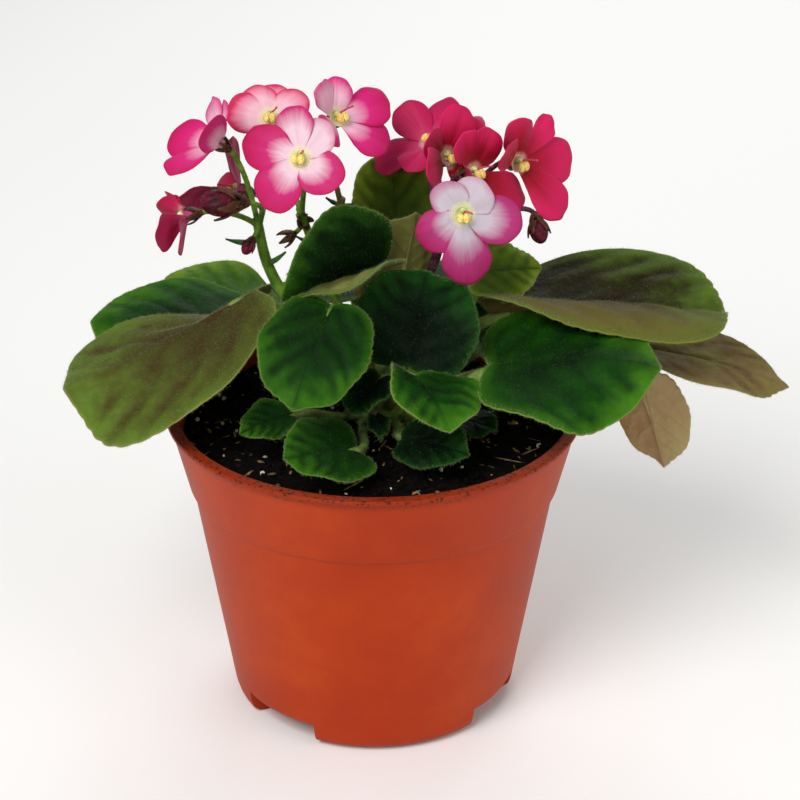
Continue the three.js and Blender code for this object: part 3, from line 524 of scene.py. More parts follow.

# Colours of a blade from its middle out to its edge, painted shade in the middle and painted light at
# the edge, of its veins, its thin light rim line (a painted highlight) and underside, and of its finest
# hairs, then the slot that the finish belongs to.
looks = {
    "olive": (0x3A3A18, 0x48501C, 0x5A7424, 0x3C2410, 0x8A8442, 0x76703F, 0x7A7A48, "leaf_olive"),
    "bronze": (0x121004, 0x28280A, 0x4E681A, 0x181004, 0x7C8034, 0x685E2E, 0x56542A, "leaf_olive"),
    "umber": (0x7C7A34, 0x6C5832, 0x746838, 0x4E3A20, 0x8A7A4A, 0x8B7A50, 0x948868, "leaf_olive"),
    # These six looks are lit and shaded copies of one green leaf tissue: painted light where a leaf lies in
    # the light, painted shade where it lies in the plant's shadow.
    "bright": (0x041A03, 0x123F06, 0x3C7010, 0x082606, 0x7A8A38, 0x667A2C, 0x2C4A18, "leaf_bright"),
    "painted_lit": (0x22480A, 0x3A6410, 0x6C8A24, 0x2C4E0E, 0x94983C, 0x6E7E3A, 0x5A7836, "leaf_bright"),
    "painted_lit_yellow": (0x304610, 0x4E6814, 0x7A942A, 0x2C3E0C, 0x94984C, 0x7E8040, 0x5C6C2C, "leaf_bright"),
    "green": (0x061E04, 0x103606, 0x32640C, 0x061C04, 0x667C30, 0x6C703A, 0x244418, "leaf_bright"),
    "deep": (0x031003, 0x0A2605, 0x2A560C, 0x051803, 0x5E7230, 0x7C8040, 0x1E3C16, "leaf_dark"),
    "shade": (0x010A02, 0x041A05, 0x123E0A, 0x020C03, 0x3A5820, 0x3E4C22, 0x122A10, "leaf_dark"),
    "tan": (0xA07C5C, 0xA29462, 0x96985A, 0x92705A, 0xA89A68, 0xA88C68, 0xB0A488, "leaf_underside"),
    "sage": (0x64662C, 0x6C6E34, 0x7A803C, 0x5C5E2C, 0x8C905A, 0x72743C, 0x8C9068, "leaf_underside"),
}


def unit(vectors):
    """Each vector over its own length."""
    return vectors / np.linalg.norm(vectors, axis=-1, keepdims=True)


def leaf_outline(angle, skew, blunt, point, width):
    """A circle fuller to one end and beside the tip, less a notch at the stalk, with fine round teeth."""
    from_tip = np.abs(angle)
    near_tip = np.exp(-((from_tip / TIP_WIDTH) ** 2))
    notch = NOTCH_DEPTH * np.exp(-(((math.pi - from_tip) / NOTCH_WIDTH) ** 2))
    shoulders = 1 + blunt * np.sin(2 * angle) ** 2 * (from_tip < math.pi / 2)
    teeth = 22 + round(0.5 * width)
    tooth = (0.24 + 0.16 * np.sin(3 * angle + width)) * (1 - near_tip) / (width / 2)
    scallops = 1 + 0.02 * np.cos(SCALLOPS * angle) + tooth * (np.abs(np.sin(teeth * angle / 2)) - 0.6)
    return (1 - notch + point * near_tip) * (1 + skew * np.cos(angle)) * shoulders * scallops


class Blade:
    """The middle surface of a leaf: an arched midrib with two halves that rise from it."""

    def __init__(self, row):
        base, tip = np.array(row["base"], float), np.array(row["tip"], float)
        along = unit(tip - base)
        level = unit(np.array([0, 0, 1]) - along * along[2])
        roll = math.radians(row["roll"])
        self.up = level * math.cos(roll) + np.cross(along, level) * math.sin(roll)
        self.side = np.cross(self.up, along)
        self.base, self.along, self.row = base, along, row
        self.bend = math.radians(row["arch"])
        self.length = np.linalg.norm(tip - base) * self.bend / 2 / math.sin(self.bend / 2)
        self.shape = (row["skew"], row["blunt"], row["point"], row["width"])
        self.behind = leaf_outline(np.array(math.pi), *self.shape)
        self.half_length = self.length / (self.behind + leaf_outline(np.array(0.0), *self.shape))

    def rib(self, length):
        """The midrib is an arc: at each length its centre, direction and outward normal."""
        turn = self.bend / self.length
        angle = self.bend / 2 - turn * length
        forward = (math.sin(self.bend / 2) - np.sin(angle)) / turn
        rise = (np.cos(angle) - math.cos(self.bend / 2)) / turn
        centre = self.base + forward[..., None] * self.along + rise[..., None] * self.up
        cos, sin = np.cos(angle)[..., None], np.sin(angle)[..., None]
        return centre, cos * self.along + sin * self.up, cos * self.up - sin * self.along

    def surface(self, ring, angle):
        """A point of the blade: out from the midrib along its half's rise, which curls and waves."""
        row, half_width = self.row, self.row["width"] / 2
        reach = ring * leaf_outline(angle, *self.shape)
        length = self.half_length * (reach * np.cos(angle) + self.behind)
        across = half_width * reach * np.sin(angle)
        centre, _, normal = self.rib(length)
        share = np.clip(length / self.length / SETTLED, 0, 1)
        share = share * share * (3 - 2 * share)
        rises = (np.radians(row[half]) for half in ("left", "right"))
        lift = np.where(across >= 0, *(first * (1 - share) + last * share for first, last in rises))
        away = np.hypot(across, GROOVE) - GROOVE
        turn = np.where(across >= 0, *row["curl"]) + 1e-6
        sideways = (np.sin(lift + turn * away) - np.sin(lift)) / turn
        upward = (np.cos(lift) - np.cos(lift + turn * away)) / turn
        wave = WAVE_HEIGHT * ring**3 * np.sin(5 * angle + self.half_length)
        points = centre + (np.sign(across) * sideways)[..., None] * self.side
        return points + (upward + wave)[..., None] * normal, length / self.length, across / half_width


def vein_depth(along, across):
    """Side veins leave the midrib and bend towards the tip: how near one is, and the swell between two."""
    bent = along - 0.22 * np.abs(across) - 0.32 * across**2
    phase = (bent + 0.025 * np.sin(9 * across + 5 * along)) * VEINS
    between = np.abs(phase - np.round(phase))
    side_vein = np.exp(-((between / 0.06) ** 2)) * np.clip(1.15 - np.abs(across) ** 3, 0, 1)
    midrib = 0.7 * np.exp(-((across / 0.045) ** 2)) * np.clip(1.2 - along, 0, 1)
    swell = (1 - np.exp(-((between / 0.28) ** 2))) * np.clip(np.abs(across) / 0.2, 0, 1)
    return np.clip(side_vein + midrib, 0, 1), swell


def leaf_shell(blade):
    """Both faces of the blade, apart by a thickness that thins to the edge, joined by a round rim."""
    ring = np.append(INNERMOST, np.linspace(0, 1, RINGS)[1:] ** 0.85)[:, None]
    angle = turns(SPOKES) - math.pi
    middle, along, across = blade.surface(*np.broadcast_arrays(ring, angle))
    out = np.gradient(middle, axis=0)
    normal = unit(np.cross(out, np.roll(middle, -1, axis=1) - np.roll(middle, 1, axis=1)))
    normal *= np.sign((normal * blade.up).sum(axis=-1).mean())
    vein, quilt = vein_depth(along, across)
    swell = blade.row["width"] / 50 * blade.row["swell"] * (1 - ring**8)
    half = BLADE_THICKNESS / 2 * (1 - 0.5 * ring**6)
    lumps = 0.3 * np.sin(6 * along + 7 * across) * np.sin(8 * across - 4 * along)
    above = np.maximum(half + swell * (0.5 * quilt - 0.25 - 0.12 * vein + lumps), THINNEST)
    below = np.maximum(half + swell * (0.22 * vein - 0.22 * quilt + 0.1 - lumps), THINNEST)
    top = middle + normal * above[..., None]
    bottom = middle - normal * below[..., None]
    rim = middle[-1:] + unit(out[-1:]) * half[-1:, :, None] * 1.2
    points, quads, caps = capped(np.concatenate([bottom, rim, top[::-1]]))
    place = stack(along, across, ring)
    attributes = []
    for lower, upper in ((place, place), (stack(vein, 0, quilt), stack(vein, 1, quilt))):
        values = np.concatenate([lower, upper[-1:], upper[::-1]]).reshape(-1, 3)
        attributes.append(np.concatenate([values, values[:1], values[-1:]]))
    return points, quads, caps, *attributes


def circles(across, other, sides):
    """Unit circles, each in the plane of two directions."""
    turn = turns(sides)[None, :, None]
    return np.cos(turn) * across[:, None] + np.sin(turn) * other[:, None]


def tube(path, radii, sides=10):
    """Circles across a path, joined along it and closed by a point at each end."""
    tangent = unit(np.gradient(path, axis=0))
    steady = np.cross(tangent[0], tangent[-1])
    if np.linalg.norm(steady) < 0.15:
        steady = np.cross(tangent[0], [1, 0, 0] if abs(tangent[0][0]) < 0.8 else [0, 1, 0])
    across = unit(np.cross(tangent, steady))
    ring = circles(across, np.cross(tangent, across), sides)
    return capped(path[:, None] + np.asarray(radii)[:, None, None] * ring)


def bezier(p0, p1, p2, p3, steps):
    """Points of a cubic curve from p0 to p3, drawn towards p1 and p2."""
    t = np.linspace(0, 1, steps)[:, None]
    return p0 * (1 - t) ** 3 + 3 * p1 * t * (1 - t) ** 2 + 3 * p2 * t**2 * (1 - t) + p3 * t**3


def petiole_path(blade):
    """From inside the stem's skin out, up and in under the midrib, then on below it as its rib."""
    row = blade.row
    radius = row["petiole"]
    bearing, height = math.radians(row["leaves_at"][0]), row["leaves_at"][1]
    outward = np.array([math.cos(bearing), math.sin(bearing), 0])
    out, rise = row["out"], row["rise"]
    standoff = STEM_RADIUS + GAP + radius * rise / math.hypot(out, rise) + 0.1
    start = np.array([*STEM_CENTRE, height]) + outward * standoff
    centre, tangent, normal = blade.rib(np.array(blade.length * 0.12))
    end = centre + normal * (0.15 - radius)
    pull = 0.4 * np.linalg.norm(end - start)
    lean = outward * out + np.array([0, 0, rise])
    stalk = bezier(start, start + lean * pull, end - tangent * pull, end, PETIOLE_STEPS - 2)
    root = start - unit(lean) * np.array([[2.4], [1.2]])
    share = np.linspace(0.17, 0.86, 16)
    centre, _, normal = blade.rib(share * blade.length)
    rib_radius = 0.7 * radius * (1.05 - share) ** 1.8
    under = centre - normal * (0.3 + 0.95 * rib_radius)[:, None]
    path = np.concatenate([root, stalk, under])
    radii = np.concatenate([np.full(PETIOLE_STEPS, radius), rib_radius])
    radii[:4] += radius * np.array([0.35, 0.3, 0.15, 0.05])
    return path, radii


def hairs(points, triangles, per_mm2, length, lean, radius):
    """Spikes on random places of a surface: each leans from the surface's normal by a random slant."""
    a, b, c = (points[triangles[:, i]] for i in range(3))
    normal = np.cross(b - a, c - a)
    area = np.linalg.norm(normal, axis=1) / 2
    count = int(area.sum() * per_mm2)
    chosen = random.choice(len(triangles), count, p=area / area.sum())
    u, v = random.uniform(size=(2, count, 1))
    folded = u + v > 1
    u, v = np.where(folded, 1 - u, u), np.where(folded, 1 - v, v)
    root = a[chosen] + (b - a)[chosen] * u + (c - a)[chosen] * v
    straight = unit(normal[chosen])
    way = unit(straight + random.normal(scale=0.35, size=(count, 3)) + np.asarray(lean))
    reach = length * random.uniform(0.5, 1.1, (count, 1))
    across = unit(np.cross(way, random.normal(size=(count, 3))))
    foot = root[:, None] + radius * circles(across, np.cross(way, across), 3)
    tips = root + way * reach
    made = np.concatenate([foot - straight[:, None] * 0.05, tips[:, None]], axis=1).reshape(-1, 3)
    spike = np.array([[0, 1, 3], [1, 2, 3], [2, 0, 3], [2, 1, 0]])
    return made, (spike[None] + 4 * np.arange(count)[:, None, None]).reshape(-1, 3)


def split(quads):
    """Two triangles from each quad."""
    return np.concatenate([quads[:, [0, 1, 2]], quads[:, [0, 2, 3]]])


def leaf_flesh(look):
    """Thick living leaf tissue: velvet sheen, painted shade toward the middle and painted light to the rim,
    mottled and veined.
    """
    inner, middle, edge, vein, line, under, fuzz, _ = looks[look]
    made, tree, spot = new_material("leaf_" + look)
    place, relief, band = (
        node(tree, "SeparateXYZ", {0: node(tree, "Attribute", attribute_name=key).outputs["Vector"]}).outputs
        for key in ("place", "relief", "band")
    )
    clouds = node(tree, "TexNoise", {"Vector": spot, "Scale": 75, "Detail": 4, "Roughness": 0.6})
    patches = node(tree, "TexNoise", {"Vector": spot, "Scale": 130, "Detail": 2})
    cells = node(tree, "TexVoronoi", {"Vector": spot, "Scale": 520}, feature="SMOOTH_F1")
    # The tone darkens toward each blade's middle and base and lightens toward its edge and tip, and a little
    # on the swells of its quilting: painted shade toward the plant's middle, painted light on the lit rims.
    # The clouds add the leaf's own mottle.
    share = -0.3
    for source, weight in ((place["Z"], 0.5), (place["X"], 0.4), (clouds, 0.75), (relief["Z"], 0.07)):
        share = node(tree, "Math", {0: source, 1: weight, 2: share}, operation="MULTIPLY_ADD")
    skin = node(tree, "ValToRGB", {"Fac": share}, stops=[(0.3, inner), (0.64, middle), (1.0, edge)])
    # Of these masks, the last two lay the edge colour over the outer sixth of each blade and a thin light
    # line along its rim: painted light where the rim and its hairs catch the light.
    stain, net, margin, painted_rim_highlight = (
        node(tree, "MapRange", {"Value": source, "From Min": low, "From Max": high, "To Max": most})
        for source, low, high, most in (
            (patches, 0.37, 0.61, 0.7), (cells, 0.3, 0.8, 0.3),
            (place["Z"], 0.84, 1.0, 0.55), (place["Z"], 0.985, 1.0, 0.6),
        )
    )
    hollow = node(tree, "Math", {0: 1.0, 1: relief["Z"]}, operation="SUBTRACT")
    stained = node(tree, "Math", {0: stain, 1: hollow}, operation="MULTIPLY")
    # The underside colour laid over the top of part of a blade is a painted sheen: its hairs seen edge-on
    # catch the light.
    tints = ((stained, vein), (net, vein), (band["X"], under), (margin, edge), (painted_rim_highlight, line))
    for share, colour in tints:
        skin = node(tree, "Mix", {0: share, 6: skin, 7: colour}, data_type="RGBA")
    ridge = node(tree, "Math", {0: relief["X"], 1: 0.3}, operation="MULTIPLY")
    mottled = node(tree, "Mix", {0: clouds, 6: under, 7: middle}, data_type="RGBA")
    pale = node(tree, "Mix", {0: ridge, 6: mottled, 7: vein}, data_type="RGBA")
    both = node(tree, "Mix", {0: relief["Y"], 6: pale, 7: skin}, data_type="RGBA")
    nap = node(tree, "TexNoise", {"Vector": spot, "Scale": 2200, "Detail": 3, "Roughness": 0.7})
    deep = node(tree, "Bump", {"Height": cells, "Strength": 0.6, "Distance": 0.0005}, invert=True)
    fine = node(tree, "Bump", {"Height": nap, "Strength": 0.35, "Distance": 0.0002, "Normal": deep})
    gloss = {"Roughness": 0.6, "Specular IOR Level": 0.07}
    sheen = {"Sheen Weight": 0.04, "Sheen Roughness": 0.5, "Sheen Tint": fuzz}
    return finish(made, {"Base Color": both, "Normal": fine, **gloss, **sheen})


def stalk_flesh(name, dark, light):
    """Juicy stalk tissue: mottled by fine noise between two tones of green or brown, a little glossy."""
    tones = [(0.35, dark), (0.66, light)]
    return grained(name, tones, 260, 0.5, specular=0.15, detail=4, fineness=0.6, bump=(0.4, 0.0003))


def plant_hair(name, colour):
    """Clear jointed hairs that catch the light: pale and dull, with a trace of their leaf's colour."""
    light = [0.72 * channel + 0.28 * clear for channel, clear in zip(linear(colour), linear(0xDADFC8))]
    return grained(name, [(0.35, colour), (0.7, light)], 800, 0.5, detail=2, bump=None)


def stem_body():
    """A ringed, slightly lumpy column: radius by height, swollen where old leaves have come off."""
    height = np.array([73.5, 80, 86, 90, 94, 98, 102, 104.5, 105.8, STEM_TOP])
    radius = STEM_RADIUS * np.array([0.75, 0.9, 1, 1, 1, 0.98, 0.94, 0.85, 0.6, 0.05])
    path = stack(*STEM_CENTRE, height)
    points, quads, caps = tube(path, radius, sides=40)
    turn = np.arctan2(points[:, 1] - STEM_CENTRE[1], points[:, 0] - STEM_CENTRE[0])
    lump = 1 + 0.03 * np.sin(5 * turn + 0.8 * points[:, 2]) * (points[:, 2] < STEM_TOP - 1)
    points[:, :2] = STEM_CENTRE + (points[:, :2] - STEM_CENTRE) * lump[:, None]
    return points, quads, caps


def hair_piece(name, slot, finishes, patches):
    """Hairs as one piece: each patch gives the number of its finish, then what the hairs need."""
    points, faces = join([hairs(*patch) for _, *patch in patches])
    settle(make_piece(name + "_hairs", points, faces, finishes, [which for which, *_ in patches]), slot)


leaf_finishes = {look: leaf_flesh(look) for look in looks}
petiole_green = stalk_flesh("petiole_green", 0x3F5A20, 0x86A048)
white_hair = plant_hair("white_plant_hair", 0x8E9A64)
hair_finishes = {look: plant_hair("hair_on_" + look, looks[look][6]) for look in looks}
petiole_finishes = {
    "tan": stalk_flesh("petiole_tan", 0x8A6A4A, 0xA08A5E),
    "sage": stalk_flesh("petiole_sage", 0x62642E, 0x7C7E44),
}

stem_points, *stem_faces = stem_body()
settle(make_piece("stem", stem_points, stem_faces, [petiole_green]), "stem_green", "crown")

for name, own in leaves.items():
    row = {**usual_leaf, **own}
    blade, look = Blade(row), row["look"]
    slot = row.get("slot", looks[look][7])
    *shell, place, relief = leaf_shell(blade)
    petiole = tube(*petiole_path(blade))
    all_points, faces = join([shell, petiole])
    # Between the two shares across the blade its top takes the underside colour, a painted sheen of hairs
    # seen edge-on.
    dark, pale = row["pale"]
    band = np.clip((place[:, 1:2] - dark) / (pale - dark), 0, 1) * [1, 1, 1]
    on_petiole = np.zeros((len(petiole[0]), 3))
    attributes = {
        key: np.concatenate([values, on_petiole])
        for key, values in (("place", place), ("relief", relief), ("band", band))
    }
    finishes = [leaf_finishes[look], petiole_finishes.get(look, petiole_green)]
    settle(make_piece(name + "_blade", all_points, faces, finishes, [0, 0, 1, 1], attributes), slot, name)

    points, triangles = shell[0], split(shell[1])
    top_side = relief[triangles, 1].mean(axis=1) > 0.9
    edge = place[triangles, 2].mean(axis=1) > 0.97
    drift = 0.45 * blade.along
    # Each patch: its finish, its points and triangles, then hairs per square mm, length, lean and radius.
    patches = [
        (0, points, triangles[top_side & ~edge], row["nap"], NAP_LENGTH, drift, 0.025),
        (0, points, triangles[~top_side & ~edge], 0.5, 0.8, drift, 0.03),
        (1, points, triangles[edge], 5, NAP_LENGTH, drift * 0.3, 0.03),
        (1, petiole[0], split(petiole[1]), 1.6, 1.1, 0, 0.03),
    ]
    hair_piece(name, slot, [hair_finishes[look], white_hair], patches)


# ---- Flower stalks, calyces and buds --------------------------------------------------------------
# Hairy juicy stalks rise from the stem's top and part into thin branches. Each ends in a calyx of
# five narrow sepals behind a bloom, or round a closed bud.

# Each bloom: its throat's place, the bearing and elevation it faces, its colours, how much further out
# each petal is pale, and its petals: turn from its top, rise out of its plane, reach and half width.
blooms = {
    "bloom_01": dict(
        at=(-43.4, 4, 171), facing=(-72, 40), look="magenta", pale=(0.5, 0.5, 0, 0.15, 0.05),
        petals=[
            (-48, 40, 12.8, 4.4), (-30, 30, 11.5, 4.4), (-124, 42, 16, 6.4),
            (72, 66, 12.5, 5.6), (174, 45, 16.2, 6.2),
        ],
    ),
    "bloom_02": dict(
        at=(-29.3, 22, 171.3), facing=(0, 38), look="blush", pale=(0, 0, -0.1, 0, 0),
        petals=[
            (-34, 8, 10.8, 5.6), (12, 5, 10.5, 6), (-76, 10, 12.5, 6),
            (62, 20, 12, 5.5), (180, 5, 13, 6.2),
        ],
    ),
    "bloom_03": dict(
        at=(-19.8, -10, 170.9), facing=(-14, 30), look="rose", pale=(0.45, 0.65, 0, 0.2, 0.12),
        petals=[
            (-18, 12, 14.5, 5.4), (30, 10, 12.2, 5.6), (-78, 12, 16.5, 6.6),
            (120, 15, 13.2, 6.4), (-146, 8, 16.2, 6.8),
        ],
    ),
    "bloom_04": dict(
        at=(-10.1, 7, 176.4), facing=(40, 34), look="magenta", pale=(0.55, 0.45, 0.05, 0.08, 0.1),
        petals=[
            (-46, 60, 15.5, 4.2), (20, 30, 11.2, 4.4), (88, 22, 17.5, 6),
            (134, 22, 16.8, 6.3), (-116, 50, 14.2, 5),
        ],
    ),
    "bloom_05": dict(
        at=(-52.5, -1, 150.4), facing=(-80, -12), look="cherry", pale=(0.1, 0, 0, 0, 0),
        petals=[
            (-62, 35, 10.5, 4.4), (-66, 25, 8, 4.4), (-82, 62, 10.5, 5),
            (104, 32, 14, 5), (82, 50, 18.2, 5.4),
        ],
    ),
    "bloom_06": dict(
        at=(16.3, 24, 163.2), facing=(-35, 62), look="raspberry", pale=(0, 0, 0, 0, 0.1),
        petals=[
            (-64, 45, 14.8, 5.8), (-2, 35, 14.5, 6), (-124, 5, 17, 6),
            (48, 20, 15.8, 6), (-178, 25, 13.2, 4.6),
        ],
    ),
    "bloom_07": dict(
        at=(20.4, 9, 164.1), facing=(46, 24), look="crimson", pale=(-0.1, -0.3, -0.35, 0, 0.1),
        petals=[
            (-52, 40, 13, 5.2), (34, 35, 14.8, 6), (-94, 45, 17, 5.6),
            (76, 25, 16.8, 6), (138, 25, 11.5, 5.6),
        ],
    ),
    "bloom_08": dict(
        at=(27.3, 0.5, 162.8), facing=(46, 18), look="crimson", pale=(0, 0, 0, 0, 0),
        petals=[
            (-22, 40, 14, 5.2), (42, 30, 13.2, 5.4), (-100, 60, 9.5, 4.4),
            (128, 22, 19.8, 6.2), (140, 15, 15, 5),
        ],
    ),
    "bloom_09": dict(
        at=(40, 9, 162.5), facing=(42, 8), look="crimson", pale=(0.1, -0.3, 0.15, -0.25, -0.2),
        petals=[
            (-8, 35, 14.2, 5.6), (54, 20, 16.5, 3.6), (-58, 50, 15.5, 5),
            (100, 25, 19.5, 6.8), (146, 38, 20.2, 6.4),
        ],
    ),
    "bloom_10": dict(
        at=(24, -16, 157.1), facing=(2, 12), look="lilac", pale=(0.5, 0.6, 0.05, 0.2, 0.08),
        petals=[
            (-40, 15, 10.5, 5.2), (32, 12, 10.5, 6.2), (-126, 8, 14, 6.2),
            (102, 8, 16.2, 6.8), (174, 2, 20.2, 7),
        ],
    ),
    "bloom_11": dict(
        at=(-39, 24, 148.9), facing=(-97, 12), look="cherry", pale=(0.5, 0.1, 0, 0.7, 0.3),
        petals=[
            (0, 38, 15.5, 5.2), (-62, 48, 16, 5.4), (-118, 50, 14, 5.2),
            (100, 70, 20.8, 5.2), (102, 58, 16.8, 4.8),
        ],
    ),
}
buds = {
    "bud_01": dict(at=(-41, -3, 155.4), facing=(-75, 6), size=1.3),
    "bud_02": dict(at=(-35, 4, 140), facing=(-40, -40), size=0.6),
    "bud_03": dict(at=(46, 4, 145.2), facing=(20, -50), size=0.9),
}
# Each stalk: its course, radius and look, what it carries, its bracts (place, turn, width and length) and
# the calyces whose bloom has dropped.
stalks = {
    "stalk_left": dict(
        path=[(-3, 1, 107.4), (-22, 8, 118), (-30, 10, 131), (-33, 9, 146)], radius=1.6, look="green",
        carries=["bloom_01", "bloom_05", "bud_01", "bud_02", "bloom_11"],
        bracts=[((-33, 6, 140), -104, 3.6, 9.5), ((-30, 7.5, 133), 60, 2.6, 6)],
    ),
    "stalk_middle": dict(
        path=[(-3, 6, 107.4), (-12, 14, 121), (-17, 14, 135), (-21, 12, 148)], radius=1.3, look="green",
        carries=["bloom_02", "bloom_03"], bracts=[((-17.2, 13.4, 137), -80, 2.4, 5)],
        spent=[
            dict(at=(-26.4, 8.6, 139.4), facing=(-52, -12)),
            dict(at=(-18.9, 9.2, 144.6), facing=(20, 10)),
        ],
    ),
    "stalk_centre": dict(
        path=[(1, 8, 107.4), (-5, 14, 124), (-11, 14, 138), (-9, 9, 152)], radius=1.3, look="brown",
        carries=["bloom_04"], bracts=[((-9.6, 10, 150), -70, 2.2, 4), ((-9.2, 9.4, 150), 100, 2.2, 3.5)],
    ),
    "stalk_right": dict(
        path=[(6, 6, 107.4), (13, 11, 121), (18, 10, 135), (19, 9, 144)], radius=1.4, look="purple",
        carries=["bloom_06", "bloom_07", "bloom_08", "bloom_09", "bloom_10", "bud_03"],
        bracts=[((18.5, 9, 141), 75, 2.4, 5)],
    ),
}
TUBE_BACK = 2.7  # from a bloom's throat back to the end of its tube
SEPAL_COUNT = 5
SEPAL_TURN = 360 / SEPAL_COUNT
BUD_RADIUS = 3
BUD_HALF_LENGTH = 3.75
BUD_MIDDLE = 1.4
STEM_STEPS = 40
BRANCH_STEPS = 18


def bloom_axes(row):
    """The bloom's right, top and facing directions."""
    bearing, elevation = np.radians(row["facing"])
    level = math.cos(elevation)
    facing = np.array([level * math.sin(bearing), -level * math.cos(bearing), math.sin(elevation)])
    right = unit(np.cross([0, 0, 1], facing))
    return np.stack([right, np.cross(facing, right), facing])


def set_out(points, row):
    """Points about a bloom's throat, in its own axes and at its size, moved to where it stands."""
    return np.array(row["at"]) + row.get("size", 1) * points @ bloom_axes(row)


def stem_curve(path, steps):
    """A centripetal spline through the points, its ends drawn straight on past the first and last."""
    p = np.array(path, float)
    p = np.concatenate([[2 * p[0] - p[1]], p, [2 * p[-1] - p[-2]]])
    knots = np.sqrt(np.linalg.norm(np.diff(p, axis=0), axis=1))[:, None]
    before, here, after = knots[:-2], knots[1:-1], knots[2:]
    p0, p1, p2, p3 = p[:-3], p[1:-2], p[2:-1], p[3:]
    leave = ((p1 - p0) / before - (p2 - p0) / (before + here) + (p2 - p1) / here) * here
    reach = ((p2 - p1) / here - (p3 - p1) / (here + after) + (p3 - p2) / after) * here
    at = np.linspace(0, len(path) - 1, steps)
    leg = np.minimum(at.astype(int), len(path) - 2)
    t = (at - leg)[:, None]
    ends = (2 * t**3 - 3 * t**2 + 1) * p1[leg] + (3 * t**2 - 2 * t**3) * p2[leg]
    return ends + (t**3 - 2 * t**2 + t) * leave[leg] + (t**3 - t**2) * reach[leg]


def two_faced(middle, thickness):
    """A grid as a body: a face half the thickness off it on each side, and a wall round its border."""
    offset = unit(np.cross(np.gradient(middle, axis=1), np.gradient(middle, axis=0))) * thickness / 2
    rows, columns = middle.shape[:2]
    quads = grid_faces(rows, columns)
    count = rows * columns
    grid = np.arange(count).reshape(rows, columns)
    border = np.concatenate([grid[0, :-1], grid[:-1, -1], grid[-1, :0:-1], grid[:0:-1, 0]])
    after = np.roll(border, -1)
    wall = stack(after, border, border + count, after + count)
    points = np.concatenate([middle + offset, middle - offset]).reshape(-1, 3)
    return points, np.concatenate([quads, quads[:, ::-1] + count, wall])


def sheet(width, length, rows, columns, shape, thickness):
    """A narrow blade on a grid: shape gives (x, y, z) from a share across and a share along."""
    across, along = np.meshgrid(np.linspace(-1, 1, columns), np.linspace(0, 1, rows))
    return two_faced(shape(across, along, width, length), thickness)


def lance(along, width, bulge, base):
    """Half the width of a lance-shaped blade: full near its base, then down to a point."""
    return width / 2 * (1 - along**bulge) ** 0.8 * (base + 0.9 * along * (1 - along)) + 0.05


def bract_shape(across, along, width, length):
    """Lance-shaped: it spreads out, then forward."""
    out = 0.7 + length * along * (1 - 0.15 * along)
    forward = 0.32 * length * along - 0.9 * along * (1 - along) - 0.25 * across**2
    return stack(across * lance(along, width, 1.3, 0.55), out, forward)


def sepal_shape(across, along, width, length):
    """Lance-shaped, and bent forward at once to lie along the tube: out by the sine of its share."""
    out = 0.75 + 0.34 * length * np.sin(1.9 * along) - 0.12 * across**2
    return stack(across * lance(along, width, 1.5, 0.7), out, 0.92 * length * along)


def clasping_shape(across, along, width, length):
    """Lance-shaped, on the skin of a bud: it goes up the egg's side to a share of its height."""
    turn = 0.3 + length * along
    out = (BUD_RADIUS + 0.1) * np.sin(turn) ** 0.9 + 0.3 + 0.5 * along**3 - 0.25 * across**2
    return stack(across * lance(along, width, 1.6, 0.7), out, BUD_MIDDLE - BUD_HALF_LENGTH * np.cos(turn))


def around(points, degrees):
    """Points turned clockwise about the facing direction, as seen from the bloom's front."""
    cos, sin = math.cos(math.radians(degrees)), math.sin(math.radians(degrees))
    x, y, z = points.T
    return stack(x * cos + y * sin, y * cos - x * sin, z)


def sepals(row, back, first_turn, **measures):
    """Five sheets, each turned a fifth of a circle from the last, so far behind the throat."""
    points, faces = sheet(**measures)
    return [
        (set_out(around(points, SEPAL_TURN * i + first_turn) + [0, 0, back], row), faces)
        for i in range(SEPAL_COUNT)
    ]


def calyx(row):
    """Five sepals round the branch's swollen end."""
    cup = np.linspace(0, 1, 7)
    path = stack(0, 0, -TUBE_BACK - 2.6 + 2.2 * cup)
    points, *faces = tube(path, 0.85 + 0.55 * np.sin(cup * math.pi / 2), sides=12)
    measures = dict(width=2.4, length=4.6, rows=9, columns=5, shape=sepal_shape, thickness=0.45)
    around_cup = sepals(row, back=-TUBE_BACK - 1.9, first_turn=10, **measures)
    points, faces = join([*around_cup, (set_out(points, row), *faces)])
    return points, *faces


# The finish of each stalk by its look, and its slot.
stalk_looks = {
    "green": (stalk_flesh("stalk_green", 0x40641A, 0x72982E), "stem_green"),
    "brown": (stalk_flesh("stalk_brown_green", 0x4B4020, 0x7C7638), "stem_green"),
    "purple": (stalk_flesh("stalk_purple", 0x2A151C, 0x593440), "stalk_purple"),
}
sepal_brown = stalk_flesh("sepal_purple_brown", 0x2C120E, 0x66402A)
bract_green = stalk_flesh("bract_green", 0x14330F, 0x32601C)

